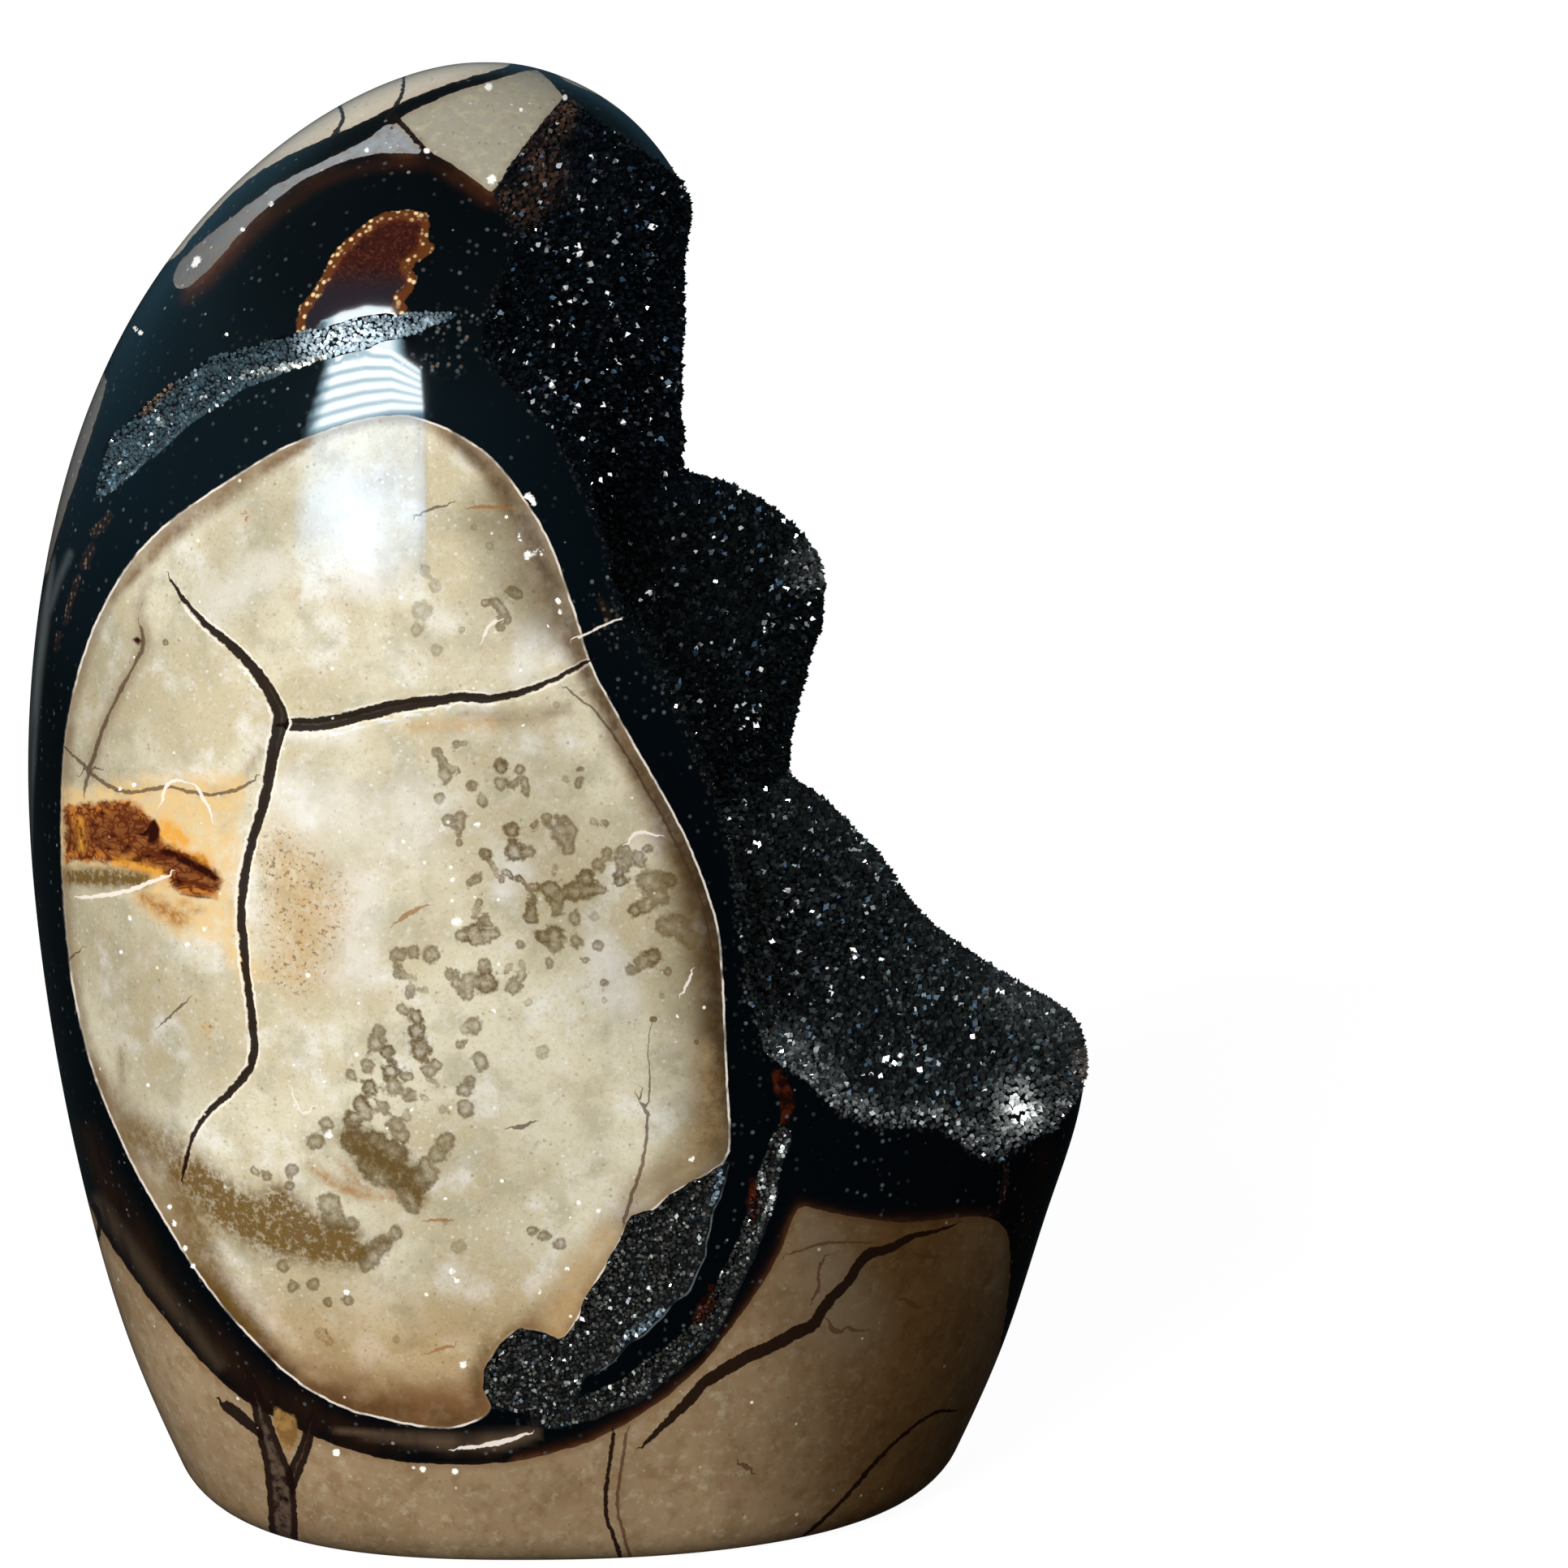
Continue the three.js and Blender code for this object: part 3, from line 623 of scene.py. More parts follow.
# round marks: right, down and radius
spots = {
    0.95: [
        [617, 944, 9], [630, 1022, 10], [634, 1050, 12], [764, 1085, 8], [825, 1085, 9], [783, 1122, 9],
        [721, 1082, 10], [710, 1098, 13], [678, 1096, 12], [689, 1104, 10], [727, 1097, 9],
        [639, 1082, 5], [655, 1114, 7], [654, 1129, 9], [583, 1150, 12], [667, 1154, 8], [682, 1152, 11],
        [512, 1252, 8], [514, 1270, 11], [518, 1294, 13], [599, 1211, 14], [805, 1256, 4], [858, 1284, 3],
        [478, 1296, 9], [482, 1321, 11], [456, 1340, 10], [445, 1359, 10], [434, 1379, 11],
        [437, 1407, 16], [462, 1410, 18], [482, 1423, 20], [456, 1436, 16], [491, 1449, 16],
        [514, 1455, 16], [804, 1179, 11], [598, 1053, 8]],
    0.7: [
        [539, 927, 7], [562, 917, 5], [546, 943, 6], [562, 950, 5], [550, 958, 7], [582, 968, 7],
        [595, 988, 7], [542, 984, 7], [617, 966, 8], [629, 967, 6], [641, 948, 6], [646, 963, 6],
        [648, 976, 6], [716, 948, 4], [713, 966, 6], [552, 1010, 7], [568, 1005, 7], [566, 1018, 7],
        [566, 1038, 5], [652, 1049, 8], [673, 1009, 7], [658, 1018, 5], [694, 1010, 6], [692, 1027, 13],
        [705, 1023, 8], [700, 1045, 9], [745, 1015, 5], [799, 1046, 6], [769, 1047, 8], [786, 1058, 8],
        [767, 1066, 9], [801, 1087, 16], [812, 1104, 12], [796, 1114, 10], [748, 1051, 7], [737, 1066, 8],
        [686, 1120, 7], [655, 1094, 6], [623, 1074, 4], [618, 1085, 4], [587, 1082, 7], [579, 1088, 5],
        [741, 1096, 6], [590, 1112, 5], [598, 1132, 6], [708, 1132, 8], [598, 1154, 10], [611, 1150, 6],
        [568, 1153, 8], [588, 1161, 6], [641, 1164, 6], [709, 1159, 8], [684, 1164, 10], [737, 1165, 7],
        [721, 1183, 4], [677, 1187, 6], [836, 1141, 15], [820, 1141, 12], [850, 1157, 12],
        [791, 1185, 10], [777, 1195, 7], [489, 1177, 9], [509, 1173, 8], [531, 1176, 11], [491, 1200, 7],
        [505, 1223, 6], [496, 1243, 7], [555, 1200, 7], [597, 1189, 8], [642, 1203, 7], [633, 1216, 10],
        [579, 1208, 11], [576, 1224, 9], [563, 1211, 8], [583, 1264, 11], [567, 1287, 6], [591, 1304, 9],
        [744, 1211, 5], [823, 1197, 5], [467, 1270, 8], [463, 1285, 10], [453, 1313, 9], [432, 1324, 7],
        [529, 1320, 9], [539, 1312, 6], [502, 1326, 6], [485, 1340, 10], [506, 1350, 8], [572, 1343, 9],
        [579, 1332, 7], [593, 1310, 9], [574, 1366, 11], [472, 1363, 8], [450, 1372, 10], [488, 1385, 10],
        [496, 1401, 9], [402, 1385, 9], [389, 1407, 11], [360, 1442, 8], [357, 1461, 6], [549, 1407, 12],
        [539, 1423, 11], [523, 1433, 7], [469, 1449, 14], [529, 1449, 12], [504, 1474, 14],
        [510, 1487, 9], [405, 1484, 14], [411, 1503, 14], [434, 1509, 9], [488, 1519, 9], [469, 1535, 12],
        [456, 1548, 14], [450, 1560, 8], [404, 1605, 6], [429, 1602, 7], [348, 1560, 8], [360, 1586, 7],
        [386, 1583, 8], [329, 1449, 6], [313, 1442, 5], [655, 1517, 6], [670, 1523, 7], [690, 1533, 8],
        [597, 743, 5], [610, 743, 7], [620, 753, 7], [625, 763, 6], [617, 773, 6], [630, 728, 7],
        [638, 733, 6], [204, 792, 4]],
    0.4: [
        [571, 916, 5], [546, 955, 6], [561, 949, 5], [615, 965, 5], [541, 985, 6], [594, 985, 6],
        [696, 959, 4], [732, 1012, 5], [685, 1069, 4], [609, 1071, 4], [586, 1122, 5], [732, 1129, 6],
        [507, 1205, 5], [524, 1220, 5], [625, 1191, 4], [642, 1189, 5], [651, 1235, 5], [571, 1267, 5],
        [668, 1296, 8], [745, 1232, 4], [816, 1227, 4], [523, 1353, 4], [536, 1340, 4], [545, 1367, 5],
        [501, 1375, 6], [565, 1536, 9], [549, 1505, 4], [405, 1653, 6], [396, 1643, 8], [488, 1650, 5],
        [536, 722, 8], [520, 753, 12], [513, 776, 8], [538, 801, 8], [524, 702, 7], [603, 673, 5],
        [584, 650, 4], [569, 776, 4], [718, 855, 4], [685, 869, 4]],
}
# white grains and painted glints on the polish: right, down and radius
whitesAndGlints = [
    [651, 613, 7], [658, 621, 4], [650, 684, 7], [666, 677, 4], [687, 740, 4], [690, 754, 4],
    [676, 771, 3], [640, 660, 4], [624, 637, 3], [644, 893, 3], [588, 1015, 5], [557, 1084, 4],
    [563, 1136, 8], [608, 1246, 4], [835, 1252, 3], [427, 1592, 5], [557, 1567, 5], [563, 1578, 4],
    [525, 1595, 3], [399, 1332, 3], [439, 1299, 4], [507, 1367, 3], [405, 1398, 7], [182, 1337, 3],
    [549, 1477, 3], [209, 1487, 4], [215, 1508, 4], [228, 1538, 4], [238, 1560, 4], [165, 967, 4],
    [148, 972, 3], [231, 1164, 4], [160, 1131, 4], [149, 1173, 3], [252, 1144, 4], [379, 1202, 4],
    [414, 1790, 6], [521, 1810, 5], [561, 1813, 5], [713, 1482, 4], [737, 1492, 4], [852, 1428, 5],
    [699, 1564, 4], [664, 1592, 4], [571, 1682, 6], [602, 107, 6], [606, 221, 8], [696, 120, 4],
    [526, 186, 5], [642, 135, 3], [243, 320, 6], [239, 326, 5], [334, 251, 4], [299, 283, 4],
    [452, 185, 4], [173, 410, 4], [166, 404, 3], [279, 412, 3]]
# soft strokes: their strength, then right, down and half width along each
washes = {
    "brown": [
        (0.85, [[545, 532, 14], [600, 575, 22], [640, 640, 36], [665, 700, 46], [690, 770, 38],
                [722, 830, 26]]),
        (0.9, [[735, 850, 22], [770, 920, 32], [812, 1000, 38], [848, 1080, 42], [866, 1150, 42],
               [874, 1230, 40], [880, 1300, 44], [880, 1400, 52]]),
        (0.6, [[884, 1400, 40], [840, 1440, 44], [790, 1470, 40], [740, 1540, 40], [700, 1610, 40],
               [655, 1630, 26]]),
        (0.9, [[300, 1650, 28], [350, 1696, 46], [430, 1732, 70], [520, 1744, 74], [596, 1728, 56]]),
        (0.75, [[110, 1310, 18], [165, 1400, 54], [210, 1460, 66], [250, 1560, 44], [310, 1650, 30]]),
        (0.5, [[148, 1293, 8], [150, 1345, 10], [160, 1400, 20]]),
        (0.95, [[140, 735, 12], [215, 655, 20], [275, 612, 20], [345, 565, 16], [380, 545, 10]]),
        (0.5, [[184, 686, 14], [172, 745, 14], [178, 797, 14], [150, 848, 14], [127, 896, 14],
               [108, 960, 12]]), (0.45, [[86, 900, 12], [88, 960, 12]]),
        (0.6, [[572, 878, 12], [620, 884, 18], [665, 880, 18], [700, 872, 12]]),
        (0.5, [[320, 925, 10], [300, 960, 12], [280, 975, 12], [230, 972, 10], [150, 976, 10],
               [110, 955, 8]]), (0.35, [[517, 520, 10], [522, 620, 12], [520, 700, 8]])],
    "dark": [
        (0.75, [[560, 540, 12], [610, 588, 18], [650, 650, 22], [680, 712, 24], [705, 780, 22],
                [724, 830, 18]]),
        (0.85, [[722, 825, 18], [762, 900, 22], [808, 985, 26], [850, 1060, 30], [875, 1130, 28],
                [884, 1220, 24], [888, 1300, 18], [892, 1380, 12]]),
        (1.0, [[244, 1572, 20], [266, 1602, 34], [302, 1645, 42], [346, 1692, 36]]),
        (0.6, [[360, 1712, 26], [404, 1726, 34], [500, 1744, 40], [574, 1748, 34]]),
        (0.6, [[600, 1650, 12], [586, 1690, 14], [588, 1730, 16]])],
    "olive": [
        (0.95, [[226, 1440, 40], [278, 1486, 56], [330, 1512, 62], [390, 1535, 46], [440, 1545, 30]]),
        (0.9, [[340, 1480, 40], [385, 1520, 44], [430, 1528, 34]]),
        (0.8, [[430, 1400, 26], [462, 1425, 40], [500, 1452, 34], [515, 1475, 22]]),
        (0.55, [[170, 1400, 44], [215, 1420, 46], [235, 1490, 44], [262, 1575, 30], [310, 1640, 24]]),
        (0.6, [[452, 1540, 20], [476, 1530, 16]]),
        (1.0, [[86, 1080, 18], [135, 1081, 21], [176, 1084, 16]])],
    # pale milky stone, partly painted highlight on the polish; on the base a greyer tone
    "milkAndHighlight": [
        (0.6, [[360, 976, 50], [378, 1004, 46]]), (0.7, [[430, 620, 60], [450, 700, 60]]),
        (0.6, [[745, 1165, 34], [770, 1230, 40]]), (0.6, [[640, 1075, 34], [620, 1100, 20]]),
        (0.5, [[330, 700, 40], [270, 740, 40]]), (0.6, [[660, 780, 36], [640, 830, 30]]),
        (0.5, [[350, 900, 30], [430, 905, 24]]), (0.35, [[400, 1000, 90], [500, 1010, 90]]),
        (0.5, [[440, 1100, 60], [430, 1190, 60]]),
        (0.5, [[1000, 1510, 30], [1016, 1550, 60], [1040, 1620, 90]])],
    "tan": [
        (0.8, [[346, 1050, 50], [376, 1110, 92], [368, 1186, 66]]), (0.8, [[421, 1125, 12]]),
        (0.7, [[255, 1268, 14]]), (0.6, [[303, 635, 16]]), (0.5, [[365, 734, 12]]),
        (0.8, [[498, 897, 12], [545, 893, 16], [604, 893, 16]]),
        (0.3, [[868, 1300, 30], [872, 1380, 40], [846, 1436, 34]]),
        (0.7, [[688, 1630, 34], [712, 1580, 40], [745, 1525, 34]]),
        (0.6, [[395, 1640, 16], [404, 1655, 12]])],
    "blot": [
        (1.0, [[176, 1106, 12], [204, 1122, 20], [224, 1134, 18]]),
        (0.7, [[226, 1112, 10], [246, 1124, 8]]), (0.35, [[200, 1086, 8], [240, 1100, 8]]),
        (0.8, [[386, 1440, 11], [412, 1458, 12], [440, 1470, 12], [484, 1474, 10]]),
        (0.6, [[418, 1432, 9], [446, 1462, 9]])],
    "yellow": [
        (1.0, [[202, 1020, 17], [216, 1030, 19], [226, 1036, 14]]),
        (0.9, [[142, 1062, 8], [166, 1067, 11], [196, 1078, 12]]), (0.6, [[98, 1010, 8], [102, 1045, 8]]),
        (0.5, [[240, 1052, 10], [262, 1064, 8]])],
    # painted shade: broad darkening where the light falls off, most at the oval's right edge and over the
    # base's right
    "paintedShade": [
        (0.2, [[640, 1400, 280], [560, 1560, 240], [420, 1660, 200]]),
        (0.33, [[640, 960, 160], [700, 1100, 180], [770, 1250, 150]]),
        (0.4, [[120, 800, 150], [130, 1000, 150], [150, 1150, 150], [190, 1330, 150]]),
        (0.9, [[870, 1000, 100], [890, 1150, 150], [895, 1300, 150], [890, 1420, 120]]),
        (0.3, [[240, 760, 120], [360, 620, 110]]),
        (1.0, [[1130, 1480, 350], [1130, 1700, 360], [1075, 1920, 290]]), (0.35, [[700, 1900, 300]]),
        (0.45, [[230, 1880, 160], [500, 1930, 90]]), (0.7, [[600, 640, 60], [660, 760, 60]])],
    "rimGlow": [
        (1.0, [[232, 372, 20], [300, 300, 26], [400, 232, 26], [500, 205, 26], [575, 232, 26],
               [625, 268, 24], [655, 288, 18]]),
        (0.25, [[984, 1482, 14], [1064, 1504, 14], [1155, 1498, 14], [1230, 1492, 14]]),
        (0.7, [[985, 1500, 22], [965, 1560, 30], [935, 1610, 30], [880, 1690, 30], [800, 1745, 30],
               [720, 1785, 26], [640, 1800, 16]])],
    "ringBrown": [
        (1.0, [[105, 1400, 30], [150, 1500, 34], [230, 1620, 34], [320, 1715, 34], [450, 1775, 30],
               [600, 1785, 30]]),
        (0.8, [[1285, 1420, 26], [1268, 1480, 30], [1250, 1560, 26], [1240, 1640, 20]])],
    # painted reflection: a grey sheen along the black ring's left silhouette
    "paintedSheen": [
        (0.9, [[66, 690, 4], [54, 760, 11], [45, 830, 11], [40, 900, 9], [38, 980, 5], [40, 1060, 1]]),
        (0.5, [[86, 683, 8], [72, 715, 8], [60, 752, 8]])],
    # painted reflection: a paler grey-brown band on the black ring's lower parts
    "paintedHaze": [
        (1.0, [[400, 1758, 2], [440, 1766, 7], [500, 1772, 14], [560, 1778, 18], [620, 1776, 18],
               [660, 1766, 12]]), (0.5, [[120, 1480, 16], [190, 1580, 18], [270, 1680, 16]])],
    "grainy": [
        (0.9, [[536, 404, 26], [590, 402, 30], [640, 392, 22]]),
        (0.6, [[440, 448, 12], [500, 446, 14], [560, 452, 16]]), (0.8, [[150, 580, 14], [130, 610, 14]]),
        (0.7, [[740, 740, 16], [752, 790, 16]]),
        (0.5, [[905, 1010, 14], [915, 1080, 16], [921, 1150, 18], [926, 1220, 18], [926, 1285, 16]])],
    "chain": [
        (1.0, [[134, 638, 10], [116, 657, 10]]), (1.0, [[114, 672, 9], [103, 698, 10]]),
        (0.8, [[95, 714, 8], [86, 745, 7], [80, 770, 6]]), (0.7, [[72, 782, 7], [69, 802, 6]]),
        (0.6, [[742, 742, 12], [750, 765, 12]]),
        (0.7, [[1240, 1430, 7], [1239, 1455, 9], [1234, 1480, 6]])],
    # painted highlight: a thin bluish line on the bevel along the lower patch's edge
    "paintedBevelSheen": [
        (1.0, [[892, 1440, 12], [874, 1505, 12], [866, 1550, 12], [842, 1592, 12], [810, 1625, 12],
               [772, 1658, 12], [740, 1684, 10]])],
    "slots": [
        (1.0, [[956, 1324, 9], [966, 1344, 14], [971, 1364, 12], [967, 1384, 7]]),
        (1.0, [[928, 1458, 9], [931, 1485, 14], [926, 1512, 9]]),
        (1.0, [[880, 1592, 9], [868, 1612, 13], [857, 1632, 9]])],
    # where the oval has no pale edge
    "unlipped": [
        (1.0, [[376, 536, 26], [415, 524, 26], [450, 512, 26], [483, 507, 26], [516, 506, 20]]),
        (0.9, [[84, 860, 26], [76, 960, 26], [76, 1080, 26], [84, 1190, 20]]),
        (1.0, [[700, 1650, 24], [660, 1640, 24], [600, 1665, 24], [595, 1715, 24], [600, 1745, 20]])],
}


def soaked(strokes, points):
    # strongest of the strokes at each point, each fading evenly from its middle to its edge
    total = np.zeros(points.shape[:-1])
    for strength, rows in strokes:
        rows = np.array(rows, float)
        rows = np.concatenate([rows, rows]) if len(rows) == 1 else rows
        rows[-1, 0] += 0.01
        nearest, _, along = distances(fromCorner(rows), points, False)
        half = valueAlong(rows[:, 2] / 10, along)
        total = np.maximum(total, strength * ease(1 - nearest / half, 0, 1))
    return total


def roundMarks(marks, points):
    # offset from the nearest mark's middle, counted in its radius, and the least distance that is
    # possible for points between the mesh's vertices
    best = np.full((*points.shape[:-1], 3), far)
    which = np.zeros(points.shape[:-1], int)
    for n, (middle, radius) in enumerate(zip(fromCorner(marks), np.array(marks)[:, 2] / 10)):
        off = (points - middle) / radius
        gap = np.hypot(off[..., 0], off[..., 1]) - 0.09 / radius ** 2
        closer = gap < best[..., 2]
        best = np.where(closer[..., None], np.concatenate([off, gap[..., None]], -1), best)
        which = np.where(closer, n, which)
    return best, which


def lineField(lines, points):
    # signed distance to the nearest line of a set, plain distance, and half the line's width there
    field = np.broadcast_to([far, far, 0], (*points.shape[:-1], 3))
    for rows in lines:
        rows = rounded(np.array(rows, float), False)
        nearest, side, along = distances(rows[:, :2], points, False)
        half = valueAlong(rows[:, 2] / 2, along)
        closer = (nearest < field[..., 1])[..., None]
        field = np.where(closer, np.stack([nearest * side, nearest, half], -1), field)
    return field


def millimetreLines(lines):
    made = []
    for rows in lines:
        rows = np.array(rows, float)
        made.append(np.concatenate([fromCorner(rows[:, :2]), rows[:, 2:] / 10], -1))
    return made


print("stone: drawing its cells, cracks and stains")
# the flat underside joins the wall's lowest row
steps = stone["undersideRows"]
share = (np.arange(1, steps) / steps)[:, None]
under = placed(middle[:1], hullRadius[:1] * share, 0 * hullRadius[:1] * share, angle[:1])
surface = np.concatenate([under, surface], 0)
hull = np.concatenate([under, hull], 0)
below = np.zeros(under.shape[:2])
rim = np.concatenate([below - far, rim], 0)
recess = np.concatenate([below - far, recess], 0)
hullNormals = np.concatenate([np.broadcast_to([0.0, 0, -1], under.shape), hullNormals], 0)
grooveSink = np.concatenate([below, grooveSink], 0)
grooveEdge = np.concatenate([below + far, np.minimum(np.abs(sides[0]), np.abs(sides[1]))], 0)
sheet = onSheet(hull)
facing = hullNormals @ toEye
hidden = 1 - ease(facing, *stone["hiddenFacing"])
behind = np.stack([-hull[..., 0], hull[..., 2]], -1)

fronts = {name: insideBy(rounded(fromCorner(outline), True), sheet) for name, outline in cells.items()}
backs = {name: insideBy(rounded(np.array(outline, float), True, 2), behind)
         for name, outline in cellsBehind.items()}
frontCell = np.max([fronts[name] for name in fronts if name != "oval"], 0)
backCell = np.max(list(backs.values()), 0)
drawn = {
    "oval": fronts["oval"] * (1 - hidden) - 20 * hidden,
    "cells": frontCell * (1 - hidden) + backCell * hidden,
    "rim": rim,
    "bed": recess,
    "sheetAt": np.concatenate([sheet, facing[..., None]], -1),
    "region": np.stack([
        ease(np.where(hidden > 0.5, backs["low"], fronts["base"]), -1.5, -0.5),
        ease(np.maximum(fronts["wedge"], fronts["sliver"]), -0.8, -0.2) * (1 - hidden),
        ease(fronts["trapezoid"], -0.8, -0.2) * (1 - hidden)], -1),
}
for name, outline in stains.items():
    drawn[name] = insideBy(fromCorner(outline), sheet) * (1 - hidden) - far * hidden
for name, strokes in washes.items():
    drawn[name] = soaked(strokes, sheet) * (1 - hidden)
drawn["paintedSheen"] *= ease(facing, *stone["paintedSheenFacing"])
marks = np.array([[*mark, tone] for tone, listed in spots.items() for mark in listed])
drawn["spotAt"], which = roundMarks(marks[:, :3], sheet)
drawn["spotAt"] += far * hidden[..., None]
drawn["spotTone"] = marks[which, 3]
drawn["whiteAndGlintAt"], _ = roundMarks(whitesAndGlints, sheet)
drawn["whiteAndGlintAt"] += far * hidden[..., None]
for name, lines in cracksAhead.items():
    ahead = lineField(millimetreLines(lines), sheet)
    back = lineField(cracksBehind[name], behind)
    drawn[name] = np.where(hidden[..., None] > 0.5, back, ahead)


def meshFrom(name, points, triangles, materials, smooth):
    mesh = bpy.data.meshes.new(name)
    mesh.vertices.add(len(points))
    mesh.vertices.foreach_set("co", (points * mm).astype(np.float32).ravel())
    size = triangles.shape[1]
    mesh.loops.add(triangles.size)
    mesh.loops.foreach_set("vertex_index", triangles.astype(np.int32).ravel())
    mesh.polygons.add(len(triangles))
    mesh.polygons.foreach_set("loop_start", np.arange(0, triangles.size, size, dtype=np.int32))
    mesh.polygons.foreach_set("use_smooth", np.full(len(triangles), smooth))
    for material in materials:
        mesh.materials.append(material)
    mesh.update(calc_edges=True)
    piece = bpy.data.objects.new(name, mesh)
    scene.collection.objects.link(piece)
    return piece


def writeField(mesh, name, values):
    if values.shape[-1] == 3 and values.ndim == 2:
        made = mesh.attributes.new(name, "FLOAT_VECTOR", "POINT")
        made.data.foreach_set("vector", values.astype(np.float32).ravel())
    else:
        made = mesh.attributes.new(name, "FLOAT", "POINT")
        made.data.foreach_set("value", values.astype(np.float32).ravel())


def stoneTriangles(edge):
    # two triangles for each square of the grid, split along the diagonal that lies on an edge, then
    # a fan to the middle of the underside and one to the crown
    rows, columns = edge.shape
    number = np.arange(rows * columns).reshape(rows, columns)
    a, b = number[:-1], np.roll(number, -1, 1)[:-1]
    c, d = np.roll(number, -1, 1)[1:], number[1:]
    edgeB, edgeC = np.roll(edge, -1, 1)[:-1], np.roll(edge, -1, 1)[1:]
    direct = (edge[:-1] + edgeC <= edgeB + edge[1:])[..., None]
    first = np.where(direct, np.stack([a, b, c], -1), np.stack([a, b, d], -1))
    second = np.where(direct, np.stack([a, c, d], -1), np.stack([b, c, d], -1))
    bottom = np.full(columns, rows * columns)
    low = np.stack([np.roll(number[0], -1), number[0], bottom], -1)
    high = np.stack([number[-1], np.roll(number[-1], -1), bottom + 1], -1)
    return np.concatenate([first.reshape(-1, 3), second.reshape(-1, 3), low, high])


edge = np.minimum(np.minimum(np.abs(rim), np.abs(recess)), grooveEdge)
triangles = stoneTriangles(edge)
crownHeight = ringAt(np.array(float(len(stone["rings"]) - 1)))[0] - baseHeight
poles = np.array([[stone["rings"][0, 2], stone["middleDepth"], 0],
                  [stone["rings"][-1, 2], stone["middleDepth"], crownHeight]])
points = np.concatenate([surface.reshape(-1, 3), poles])


def flat(field):
    # one row per mesh vertex: the grid, then the two poles with their nearest row's mean
    shaped = field.reshape(field.shape[0], field.shape[1], -1)
    ends = np.stack([shaped[0].mean(0), shaped[-1].mean(0)])
    joined = np.concatenate([shaped.reshape(-1, shaped.shape[-1]), ends])
    return joined if joined.shape[-1] > 1 else joined[:, 0]


flatRim, flatRecess = flat(rim), flat(recess)
lined = (flatRim[triangles].min(1) >= 0) & (flatRim[triangles].max(1) > 0)
bedded = (flatRecess[triangles].min(1) >= 0) & (flatRecess[triangles].max(1) > 0)
bedded &= flatRim[triangles].max(1) <= 0
grooved = flat(grooveSink)[triangles].max(1) > grooves["leastDepth"]
print("stone:", len(triangles), "triangles,", int(lined.sum()), "lined,", int(bedded.sum()), "in recesses")


def linear(seen):
    # screen values, 0 to 255, as the linear values that shaders use
    seen = np.asarray(seen) / 255
    return np.where(seen <= 0.04045, seen / 12.92, ((seen + 0.055) / 1.055) ** 2.4)


def ink(red, green, blue):
    return (*[float(v) for v in linear([red, green, blue])], 1.0)


